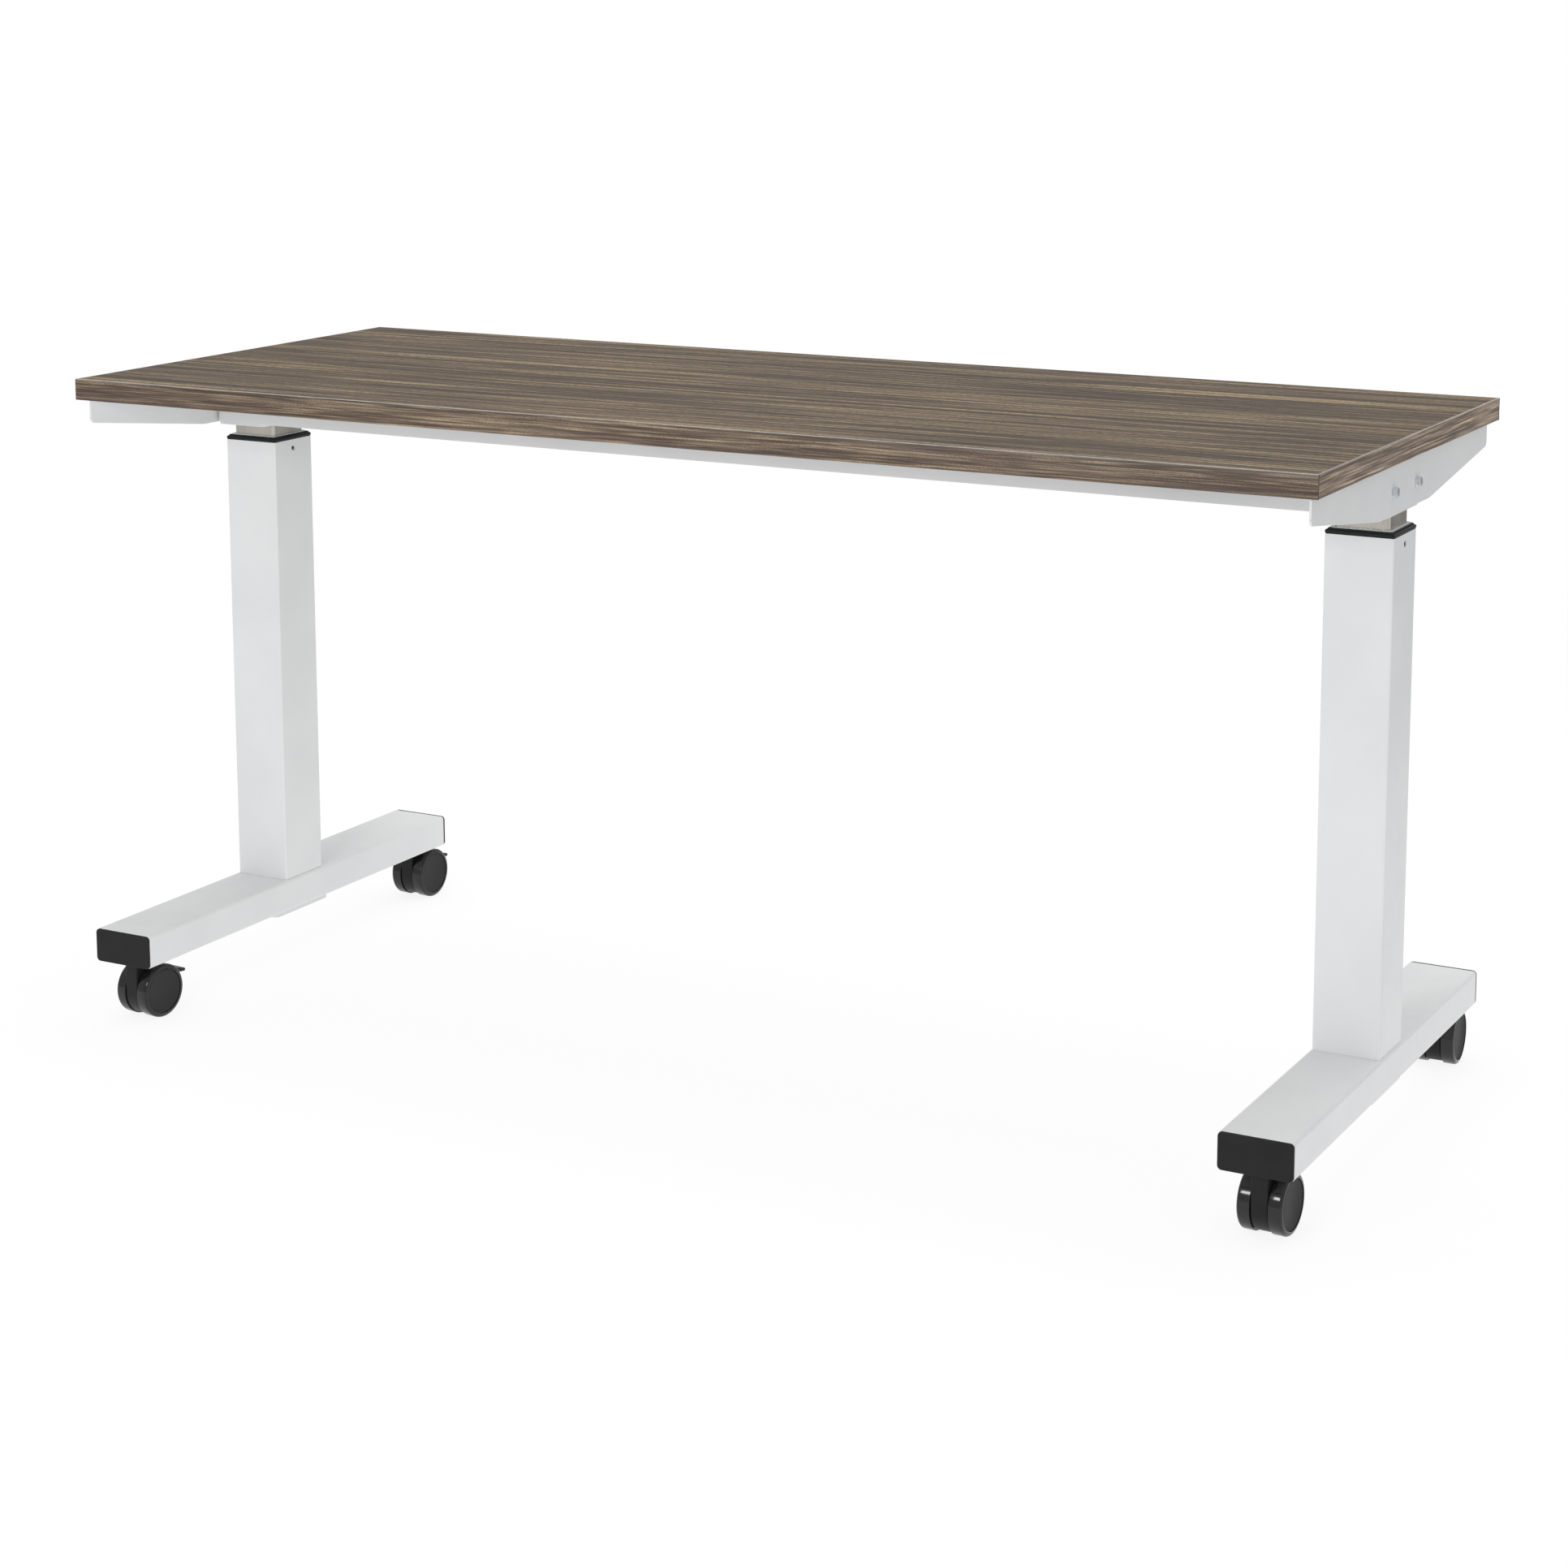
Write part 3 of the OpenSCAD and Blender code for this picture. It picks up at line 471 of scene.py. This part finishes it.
finishes = {
    "white_powder_coat": powder_coat(),
    "bright_tube": bright_tube(),
    "plain_steel": plain_steel(),
    "zinc_plate": zinc_plate(),
    "black_moulding": moulded("black_moulding", BLACK, (0.0135, 0.0135, 0.014), rough=0.42,
                              specular=0.22),
    "grey_nylon": moulded("grey_nylon", (0.62, 0.65, 0.66), (0.72, 0.74, 0.74), rough=0.45),
    "black_enamel": moulded("black_enamel", BLACK, (0.016, 0.016, 0.016), rough=0.22,
                            grain=300, depth=0.00003, specular=0.5),
    "belt_rubber": moulded("belt_rubber", (0.014, 0.014, 0.014), (0.028, 0.028, 0.027),
                           rough=0.7, grain=1400),
    "black_nylon": moulded("black_nylon", BLACK, (0.020, 0.020, 0.020), rough=0.38, grain=1100),
    "cable_sheath": moulded("cable_sheath", BLACK, (0.018, 0.018, 0.018), rough=0.35,
                            grain=1500, depth=0.00002),
    "caster_body_plastic": moulded("caster_body_plastic", BLACK, (0.013, 0.0128, 0.0128),
                                   rough=0.40, grain=1000, specular=0.2),
    "caster_wheel": moulded("caster_wheel", BLACK, (0.0135, 0.0128, 0.0128), rough=0.10,
                            grain=700, depth=0.00001, specular=0.45),
    "laminate_top": laminate_top(under_z),
    "edge_banding": edge_banding("edge_banding", along_y=False, shift=3.7,
                                 gain=(1.50, 1.44, 1.38)),
}
wheel_disc = moulded("caster_disc", (0.026, 0.026, 0.027), (0.034, 0.034, 0.035), rough=0.62,
                     grain=1300, depth=0.00005, specular=0.2)
# the side strips get a copy of the banding print painted much lighter, to stand for the light on
# their faces
banding_side_painted_light = edge_banding("edge_banding_side", along_y=True, shift=8.1, gain=(2.5, 2.5, 2.55))
band_core = moulded("edge_banding_core", (0.050, 0.036, 0.030), (0.070, 0.052, 0.043), rough=0.5)
# a pale painted highlight for the banding's rounded upper corner
band_corner_highlight = scraped_edge()


def finish_nodes():
    """Gives each CAD node the procedural finish of its slot in the record."""
    for node in nodes.values():
        for held in node.material_slots:
            held.material = finishes[held.material.name.split(".")[0]]


finish_nodes()


def soften(node_names, radius, steps):
    """Rounds the sharp edges of CAD nodes with modifiers, leaving their meshes as they are.

    The last modifier keeps the large faces from shading as if they were curved."""
    for name in node_names:
        node = nodes[name]
        weld = node.modifiers.new("weld", "WELD")
        weld.merge_threshold = 0.01 * MM
        flat = node.modifiers.new("flat", "DECIMATE")
        flat.decimate_type = "DISSOLVE"
        flat.angle_limit = math.radians(0.5)
        round_edges = node.modifiers.new("round_edges", "BEVEL")
        round_edges.width = radius
        round_edges.segments = steps
        round_edges.limit_method = "ANGLE"
        round_edges.angle_limit = math.radians(40)
        round_edges.use_clamp_overlap = False
        shade_flat = node.modifiers.new("shade_flat", "WEIGHTED_NORMAL")
        shade_flat.mode = "FACE_AREA"
        shade_flat.weight = 100
        shade_flat.keep_sharp = True


def finished_piece(name, bm, node, slot, body, angle=35.0, materials=None):
    """Makes a piece that stands for a CAD node and rides on its body.

    It takes the finish of its slot, unless other materials are given."""
    piece = add_mesh(name, bm, materials or [finishes[slot]], angle)
    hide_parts(node)
    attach(piece, body)


# ---- Tabletop edges ----

def edge_strips():
    """Four banding strips with a rounded outer edge above and below, and plain cut ends."""
    low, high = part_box("edge_band")
    strip = 2 * MM
    seam = 0.1 * MM
    inner_y = (low.y + strip, high.y - strip)
    places = {
        "front": ((low.x, low.y), (high.x, inner_y[0]), 1, -1),
        "back": ((low.x, inner_y[1]), (high.x, high.y), 1, 1),
        "left": ((low.x, inner_y[0] + seam), (low.x + strip, inner_y[1] - seam), 0, -1),
        "right": ((high.x - strip, inner_y[0] + seam), (high.x, inner_y[1] - seam), 0, 1),
    }
    for name, (start, end, axis, side) in places.items():
        outer = (end if side > 0 else start)[axis]

        def outer_long_edge(middle, direction):
            return abs(middle[axis] - outer) < 1e-6 and abs(direction[1 - axis]) > 0.1

        bm = bmesh.new()
        bevelled_box(bm, (*start, low.z), (*end, high.z), 1.2 * MM, outer_long_edge, steps=5)
        bm.normal_update()
        # 0 is the printed face, 1 the cut end, 2 the upper rounded corner, with its painted
        # highlight
        for face in bm.faces:
            cut_end = abs(face.normal[1 - axis]) > 0.9
            # the upward-slanting corner faces get the pale painted highlight
            face.material_index = 1 if cut_end else 2 if 0.2 < face.normal.z < 0.97 else 0
        # front and back strips take the plain print, the side strips the copy painted lighter for
        # their light
        printed = finishes["edge_banding"] if axis == 1 else banding_side_painted_light
        finished_piece(f"edge_strip_{name}", bm, "edge_band", "edge_banding", "lift",
                       materials=[printed, band_core, band_corner_highlight])


edge_strips()


# ---- Casters ----

def wheel_place(name):
    """A wheel's axle frame, width and radius.

    The frame is at the middle of the inner face, with Z pointing to the outer face."""
    points = [vertex.co for vertex in nodes[name].data.vertices]
    low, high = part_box(name)
    corner, side = name.split("_")[1:]
    joint = joint_of(f"caster_{corner}_wheel_{side}")
    axle = Vector(joint["pos_m"])
    along = Vector(joint["axis"]).normalized() * (-1 if side == "left" else 1)
    reach = [(point - axle).dot(along) for point in points]
    place = facing(axle + along * min(reach), along)
    return place, max(reach) - min(reach), (high.z - low.z) / 2


def caster_wheel(corner, side):
    """A tyre with rounded shoulders round a nearly flush matt disc with a thin raised rim."""
    name = f"wheel_{corner}_{side}"
    place, width, radius = wheel_place(name)
    centre = 0.01 * MM
    bore = 9 * MM
    disc = 26.5 * MM

    # the tyre, from its bore over the inner face and the tread to the lip round the disc
    shoulder = 3.6 * MM
    inner = 0.6 * MM
    lip = 0.45 * MM
    outline = [(bore, 0.0), (bore + MM, 2 * MM), (25 * MM, 2 * MM), (26 * MM, 0.0),
               (radius - inner, 0.0)]
    outline += arc(radius - inner, inner, inner, -67, 0, 4)
    outline += arc(radius - shoulder, width - shoulder, shoulder, 0, 90, 14)
    outline += [(disc + 1.5 * MM, width)]
    outline += arc(disc + 0.95 * MM, width - 0.1 * MM, lip, 90, 180, 5)
    outline += [(disc + 0.5 * MM, width - 1.4 * MM), (bore, width - 1.6 * MM)]
    tread = bmesh.new()
    lathe(tread, outline, place)
    body = f"caster_{corner}_wheel_{side}"
    finished_piece(f"tyre_{corner}_{side}", tread, name, "caster_wheel", body)

    # the disc, from the middle of its back over its rim to the middle of its front
    flat = width - 0.45 * MM
    rim = 0.5 * MM
    outline = [(centre, width - 1.5 * MM), (disc, width - 1.3 * MM), (disc, flat - 0.6 * MM)]
    outline += arc(disc - rim, flat - rim, rim, 0, 90, 4)
    outline += [(disc - 1.6 * MM, flat), (disc - 1.9 * MM, flat - 0.2 * MM),
                (centre, flat - 0.1 * MM)]
    cover = bmesh.new()
    lathe(cover, outline, place)
    finished_piece(f"wheel_disc_{corner}_{side}", cover, name, "caster_wheel", body,
                   materials=[wheel_disc])


for corner_name in CASTERS:
    for side_name in SIDES:
        caster_wheel(corner_name, side_name)


# ---- Collars ----

def swept_ring(bm, centre, half, corner, profile):
    """Sweeps a closed profile of (outset from the path, height) round a rounded square."""
    rings = []
    for outset, height in profile:
        path = rounded_rect(half + outset, half + outset, max(corner + outset, 0.2 * MM), steps=10)
        rings.append([Vector((centre.x + x, centre.y + y, height)) for x, y in path])
    skin(bm, rings, closed=True)


def collar(side):
    """A moulded collar on the outer tube: a full-round rim and a raised step round the glide."""
    name = f"collar_{side}"
    low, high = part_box(name)
    half = (high.x - low.x) / 2
    # outsets from the collar's outer face, and heights
    bore = 33.3 * MM - half
    step = -2.4 * MM
    step_round = 0.8 * MM
    rim = 2.2 * MM
    groove = low.z + 2 * rim
    profile = [(bore, low.z), (-0.6 * MM, low.z)]
    profile += arc(-rim, low.z + rim, rim, -60, 90, 10)
    profile += [(step - 0.3 * MM, groove - 0.5 * MM), (step - 0.5 * MM, groove - 0.4 * MM)]
    profile += arc(step - 1.3 * MM, high.z - step_round, step_round, 0, 90, 5)
    profile += [(bore + 0.4 * MM, high.z), (bore, high.z - 0.4 * MM)]
    bm = bmesh.new()
    swept_ring(bm, (low + high) / 2, half, 3 * MM, profile)
    finished_piece(f"moulded_{name}", bm, name, "black_moulding", "base", 50)


for side_name in SIDES:
    collar(side_name)


# ---- Screws and bolts ----

def arm_bolts():
    """A hex bolt, washer and nut through each hole of the arms' webs."""
    for k, (low, high) in enumerate(solids("arm_bolts")):
        side = 1 if low.x > 0 else -1
        middle = (low + high) / 2
        length = high.x - low.x
        across = 10 * MM
        # heights from the free end of the bolt to the top of its head
        under_head = length - 4.0 * MM
        under_washer = under_head - 1.2 * MM
        place = facing((low.x if side > 0 else high.x, middle.y, middle.z), (side, 0, 0))
        bm = bmesh.new()
        hex_solid(bm, place, across, under_head, length)
        turned(bm, place, [(5.7 * MM, under_washer), (6 * MM, under_washer + 0.3 * MM),
                           (6 * MM, under_head - 0.3 * MM), (5.7 * MM, under_head)])
        hex_solid(bm, place, across, 3 * MM, 8 * MM, both=True)
        turned(bm, place, thread(3 * MM, 1.0 * MM, 0.0, under_washer))
        finished_piece(f"arm_bolt_{k}", bm, "arm_bolts", "zinc_plate", "lift")


def foot_bolts():
    """The hex bolts between each column and its foot, and the screws of the upper glides."""
    for k, (low, high) in enumerate(solids("base_screws")):
        middle = (low + high) / 2
        bm = bmesh.new()
        upright = high.x - low.x > 10 * MM
        if upright:
            length = high.z - low.z
            under_head = length - 3 * MM
            place = facing((middle.x, middle.y, high.z), (0, 0, -1))
            hex_solid(bm, place, high.y - low.y, under_head, length)
            turned(bm, place, thread(4 * MM, 1.25 * MM, 0.0, under_head))
            finished_piece(f"foot_bolt_{k}", bm, "base_screws", "zinc_plate", "base")
        else:
            side = 1 if low.x > 0 else -1
            radius = (high.y - low.y) / 2
            length = high.x - low.x
            under_head = length - 1.2 * MM
            place = facing((low.x if side > 0 else high.x, middle.y, middle.z), (side, 0, 0))
            turned(bm, place, [
                (1.6 * MM, 0.0), (2 * MM, 0.6 * MM), (2 * MM, under_head),
                (radius, under_head), (radius, length - 0.7 * MM),
                (radius - 0.5 * MM, length - 0.2 * MM), (radius - 1.4 * MM, length),
                (1.3 * MM, length), (1.2 * MM, length - 0.9 * MM)])
            finished_piece(f"glide_screw_{k}", bm, "base_screws", "black_moulding", "base")


SPOKES = [math.tau * k / 48 for k in range(48)]


def top_screws():
    """Pan-head wood screws with a six-lobed recess, driven up into the top."""
    for k, (low, high) in enumerate(solids("top_screws")):
        middle = (low + high) / 2
        radius = (high.x - low.x) / 2
        length = high.z - low.z
        place = facing((middle.x, middle.y, low.z), (0, 0, 1))
        # from the tip down the shank and over the head
        outline = [(0.4 * MM, length), (1.6 * MM, length - 4 * MM), (2 * MM, 2.2 * MM),
                   (radius - 0.15 * MM, 2.2 * MM), (radius, 2.0 * MM), (radius, 1.5 * MM),
                   (radius * 0.85, 0.6 * MM), (radius * 0.55, 0.1 * MM)]
        rings = [[place @ Vector((r * math.cos(a), r * math.sin(a), h)) for a in SPOKES]
                 for r, h in outline]
        for h in (0.0, 1.3 * MM):
            lobes = [(1.5 * MM * (0.85 + 0.15 * math.cos(6 * a)), a) for a in SPOKES]
            rings.append([place @ Vector((r * math.cos(a), r * math.sin(a), h)) for r, a in lobes])
        bm = bmesh.new()
        skin(bm, rings)
        finished_piece(f"top_screw_{k}", bm, "top_screws", "zinc_plate", "lift")


arm_bolts()
foot_bolts()
top_screws()


# ---- Cables ----

def smooth_route(points, steps):
    """A Catmull-Rom curve through the points."""
    ends = [points[0], *points, points[-1]]
    route = []
    for a, b, c, d in zip(ends, ends[1:], ends[2:], ends[3:]):
        for k in range(steps):
            t = k / steps
            route.append(0.5 * (2 * b + (c - a) * t + (2 * a - 5 * b + 4 * c - d) * t * t
                                + (3 * b - a - 3 * c + d) * t * t * t))
    return route + [points[-1]]


def tube(bm, route, radius, count=20):
    """A round tube along a route, turned as little as possible from ring to ring."""
    spokes = [math.tau * j / count for j in range(count)]
    rings = []
    side = None
    for k, point in enumerate(route):
        along = (route[min(k + 1, len(route) - 1)] - route[max(k - 1, 0)]).normalized()
        side = along.cross(side or Vector((0, 0, 1))).cross(along).normalized()
        up = along.cross(side)
        rings.append([point + radius * (side * math.cos(a) + up * math.sin(a)) for a in spokes])
    skin(bm, rings)


# points of the design's cable routes in mm, with Y from the middle of the columns
CABLE_ROUTES = {
    "right": [(530, -118, 746.5), (530, -100, 744.5), (530, -80, 738), (530, -58, 736),
              (532, -38, 736), (540, -15, 737), (558, 3, 733), (585, 11, 725), (620, 12, 718),
              (660, 12, 717), (703, 12, 717)],
    "left": [(510, -118, 746.5), (510, -100, 744.5), (510, -80, 738), (510, -58, 736),
             (508, -38, 736), (498, -12, 737), (478, 12, 732), (450, 32, 720), (415, 45, 707),
             (375, 48, 703.7), (100, 48, 703.7), (-300, 48, 703.7), (-600, 48, 703.7),
             (-640, 42, 706.5), (-668, 25, 712.5), (-686, 14, 717), (-703, 12, 717)],
}


def release_cables():
    """Sheathed cables from the handle's ferrules to the release head on each gas spring."""
    middle_y = sum(corner.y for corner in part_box("outer_tube_left")) / 2
    for side, points in CABLE_ROUTES.items():
        route = [Vector((x, y + middle_y / MM, z)) * MM for x, y, z in points]
        bm = bmesh.new()
        tube(bm, smooth_route(route, 8), 2.5 * MM)
        finished_piece(f"cable_{side}", bm, "release_cables", "cable_sheath", "lift")
        start = route[0] + Vector((0, -24 * MM, 0))
        bm = bmesh.new()
        turned(bm, facing(start, (0, 1, 0)), [
            (1.2 * MM, 0.0), (2.7 * MM, 0.0), (3 * MM, 0.3 * MM), (3 * MM, 9 * MM),
            (2.8 * MM, 9.4 * MM), (2.8 * MM, 10 * MM), (3 * MM, 10.4 * MM), (3 * MM, 20 * MM),
            (2.6 * MM, 24 * MM)], 32)
        finished_piece(f"cable_ferrule_{side}", bm, "release_cables", "black_moulding", "lift")


release_cables()


# ---- Moulded caster bodies and pedals ----

def moulded_copy(name, body, slot, voxel, add=None):
    """A copy of a CAD solid with its edges and inner corners rounded as in a moulding.

    add, where given, adds more shape before the rounding."""
    bm = bmesh.new()
    bm.from_mesh(nodes[name].data)
    bmesh.ops.remove_doubles(bm, verts=bm.verts, dist=0.01 * MM)
    if add:
        add(bm)
    rough = add_mesh(f"rough_{name}", bm, [])
    remesh = rough.modifiers.new("remesh", "REMESH")
    remesh.mode = "VOXEL"
    remesh.voxel_size = voxel
    smooth = rough.modifiers.new("smooth", "SMOOTH")
    smooth.factor = 0.5
    smooth.iterations = 3
    fewer = rough.modifiers.new("fewer", "DECIMATE")
    fewer.ratio = 0.3
    rounded = rough.evaluated_get(bpy.context.evaluated_depsgraph_get())
    mesh = bpy.data.meshes.new_from_object(rounded)
    bpy.data.objects.remove(rough)
    bm = bmesh.new()
    bm.from_mesh(mesh)
    finished_piece(f"moulded_{name}", bm, name, slot, body, 60)


def caster_hood(corner):
    """A call that adds the hood from a caster's neck down the front of its body.

    The hood's front is level with the treads."""
    def add(bm):
        stem = Vector(joint_of(f"caster_{corner}")["pos_m"])
        axle = Vector(joint_of(f"caster_{corner}_wheel_left")["pos_m"])
        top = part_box(f"caster_body_{corner}")[1].z - 0.4 * MM
        back = Vector((axle.x - stem.x, axle.y - stem.y, 0)).normalized()
        across = Vector((0, 0, 1)).cross(back)
        foot = Vector((stem.x, stem.y, 0))
        trail = math.hypot(axle.x - stem.x, axle.y - stem.y)
        # outline from the top down the front, as (distance behind the stem, height)
        front = [(-9.9 * MM, top), (-10 * MM, 50 * MM), (-10.1 * MM, 40 * MM)]
        front += arc(trail, axle.z, 31.2 * MM, 180, 238, 8)
        inside = [(trail, 16 * MM), (6 * MM, 46 * MM), (3 * MM, top)]
        # places across the hood, and how far its front is set back there to round its edges
        slices = ((-9.2, 1.0), (-8.9, 0.3), (-8.2, 0.0), (8.2, 0.0), (8.9, 0.3), (9.2, 1.0))
        rings = []
        for x, setback in slices:
            outline = [(y + setback * MM, z) for y, z in front] + inside
            rings.append([foot + across * (x * MM) + back * y + Vector((0, 0, z))
                          for y, z in outline])
        skin(bm, rings)
    return add


for corner_name in CASTERS:
    moulded_copy(f"caster_body_{corner_name}", f"caster_{corner_name}", "caster_body_plastic",
                 0.5 * MM, caster_hood(corner_name))
    moulded_copy(f"brake_pedal_{corner_name}", f"caster_{corner_name}_pedal", "black_nylon",
                 0.45 * MM)

soften(["outer_tube_left", "outer_tube_right", "rail_front", "rail_back", "arm_left",
        "arm_right", "head_bracket_left", "head_bracket_right", "foot_plates"], 0.4 * MM, 2)
soften(["foot_left", "foot_right", "foot_caps"], 0.8 * MM, 3)
soften(["release_handle", "release_heads", "handle_guide", "caster_sockets"], 0.5 * MM, 2)


# ---- Floor, light and camera ----

def studio_node(tree, kind, operation=None, **inputs):
    """A node of the floor or the world. An underscore in an input's name stands for a space."""
    made = tree.nodes.new(kind)
    if operation:
        made.operation = operation
    for name, value in inputs.items():
        made.inputs[name.replace("_", " ")].default_value = value
    return made


def studio_floor():
    """A pale floor that fades out before the horizon, and can be seen through from below."""
    bm = bmesh.new()
    bmesh.ops.create_circle(bm, cap_ends=True, radius=6.0, segments=96)
    floor = add_mesh("studio_floor", bm, [])
    material = bpy.data.materials.new("studio_floor")
    material.use_nodes = True
    tree = material.node_tree
    tree.nodes.clear()
    out = studio_node(tree, "ShaderNodeOutputMaterial")
    plain = studio_node(tree, "ShaderNodeBsdfDiffuse", Color=rgba(0.90, 0.90, 0.90))
    glow = studio_node(tree, "ShaderNodeEmission", Color=rgba(1.0, 1.0, 1.0), Strength=1.03)
    clear = studio_node(tree, "ShaderNodeBsdfTransparent")
    soft = studio_node(tree, "ShaderNodeMixShader", Fac=0.85)
    place = studio_node(tree, "ShaderNodeTexCoord")
    length = studio_node(tree, "ShaderNodeVectorMath", "LENGTH")
    fade = studio_node(tree, "ShaderNodeMapRange", From_Min=1.4, From_Max=3.2)
    seen = studio_node(tree, "ShaderNodeNewGeometry")
    most = studio_node(tree, "ShaderNodeMath", "MAXIMUM")
    whole = studio_node(tree, "ShaderNodeMixShader")
    for start, end in (
        (plain.outputs[0], soft.inputs[1]), (glow.outputs[0], soft.inputs[2]),
        (place.outputs["Object"], length.inputs[0]),
        (length.outputs["Value"], fade.inputs["Value"]),
        (fade.outputs["Result"], most.inputs[0]), (seen.outputs["Backfacing"], most.inputs[1]),
        (most.outputs[0], whole.inputs["Fac"]), (soft.outputs[0], whole.inputs[1]),
        (clear.outputs[0], whole.inputs[2]), (whole.outputs[0], out.inputs["Surface"]),
    ):
        tree.links.new(start, end)
    floor.data.materials.append(material)
    floor.location.z = cad_box[0].z - 0.5 * MM


def studio_world():
    """Soft white surroundings, dimmer at the back right, and plain white behind the table."""
    world = bpy.data.worlds.new("studio")
    world.use_nodes = True
    bpy.context.scene.world = world
    tree = world.node_tree
    tree.nodes.clear()
    out = studio_node(tree, "ShaderNodeOutputWorld")
    place = studio_node(tree, "ShaderNodeTexCoord")
    side = studio_node(tree, "ShaderNodeVectorMath", "DOT_PRODUCT")
    side.inputs[1].default_value = Vector((-0.45, -0.85, 0.10)).normalized()
    level = studio_node(tree, "ShaderNodeMapRange", From_Min=-1.0, From_Max=1.0,
                        To_Min=0.99, To_Max=0.75)
    # beyond the studio's sweep at the back right it is darker
    gap = studio_node(tree, "ShaderNodeVectorMath", "DOT_PRODUCT")
    gap.inputs[1].default_value = Vector((0.48, 0.87, -0.14)).normalized()
    dip = studio_node(tree, "ShaderNodeMapRange", From_Min=0.88, From_Max=0.98,
                      To_Min=1.0, To_Max=0.28)
    dip.interpolation_type = "SMOOTHSTEP"
    dimmed = studio_node(tree, "ShaderNodeMath", "MULTIPLY")
    room = studio_node(tree, "ShaderNodeBackground")
    white = studio_node(tree, "ShaderNodeBackground", Strength=1.0, Color=rgba(1.0, 1.0, 1.0))
    path = studio_node(tree, "ShaderNodeLightPath")
    choose = studio_node(tree, "ShaderNodeMixShader")
    for start, end in (
        (place.outputs["Generated"], side.inputs[0]),
        (side.outputs["Value"], level.inputs["Value"]),
        (place.outputs["Generated"], gap.inputs[0]), (gap.outputs["Value"], dip.inputs["Value"]),
        (level.outputs["Result"], dimmed.inputs[0]), (dip.outputs["Result"], dimmed.inputs[1]),
        (dimmed.outputs[0], room.inputs["Strength"]),
        (path.outputs["Is Camera Ray"], choose.inputs["Fac"]),
        (room.outputs[0], choose.inputs[1]), (white.outputs[0], choose.inputs[2]),
        (choose.outputs[0], out.inputs["Surface"]),
    ):
        tree.links.new(start, end)


def soft_light(name, at, aim, width, height, watts):
    """A rectangular soft box at a place, turned to a point."""
    data = bpy.data.lights.new(name, "AREA")
    data.shape = "RECTANGLE"
    data.size, data.size_y = width, height
    data.energy = watts
    light = bpy.data.objects.new(name, data)
    light.location = at
    light.rotation_mode = "QUATERNION"
    light.rotation_quaternion = (Vector(aim) - Vector(at)).to_track_quat("-Z", "Y")
    bpy.context.scene.collection.objects.link(light)


# the camera, from fitting the photograph's perspective to the top
LENS = 73.385                              # mm, on a sensor 36 mm wide
SHIFT = -0.20                              # of the frame's width
CAMERA_AT = (1.7446, -3.2028, 1.2607)
CAMERA_TURN = (28.481, 9.041, -0.117)      # azimuth, elevation and roll in degrees


def camera():
    """The camera, at eye height in front and to the right of the table."""
    data = bpy.data.cameras.new("camera")
    data.sensor_width = 36.0
    data.lens = LENS
    data.shift_y = SHIFT
    cam = bpy.data.objects.new("camera", data)
    azimuth, elevation, roll = (math.radians(v) for v in CAMERA_TURN)
    toward = Vector((-math.sin(azimuth) * math.cos(elevation),
                     math.cos(azimuth) * math.cos(elevation), -math.sin(elevation)))
    cam.location = CAMERA_AT
    cam.rotation_mode = "QUATERNION"
    cam.rotation_quaternion = (toward.to_track_quat("-Z", "Y")
                               @ Matrix.Rotation(roll, 3, "Z").to_quaternion())
    bpy.context.scene.collection.objects.link(cam)
    bpy.context.scene.camera = cam


studio_floor()
studio_world()
soft_light("key", at=(-0.03, -2.35, 1.31), aim=(0.3, 0.0, 0.3), width=0.68, height=0.38, watts=15)
soft_light("top_fill", at=(0.0, 0.6, 3.4), aim=(0.0, 0.0, 0.6), width=2.6, height=2.2, watts=42)
camera()
bpy.context.scene.view_settings.view_transform = "Standard"
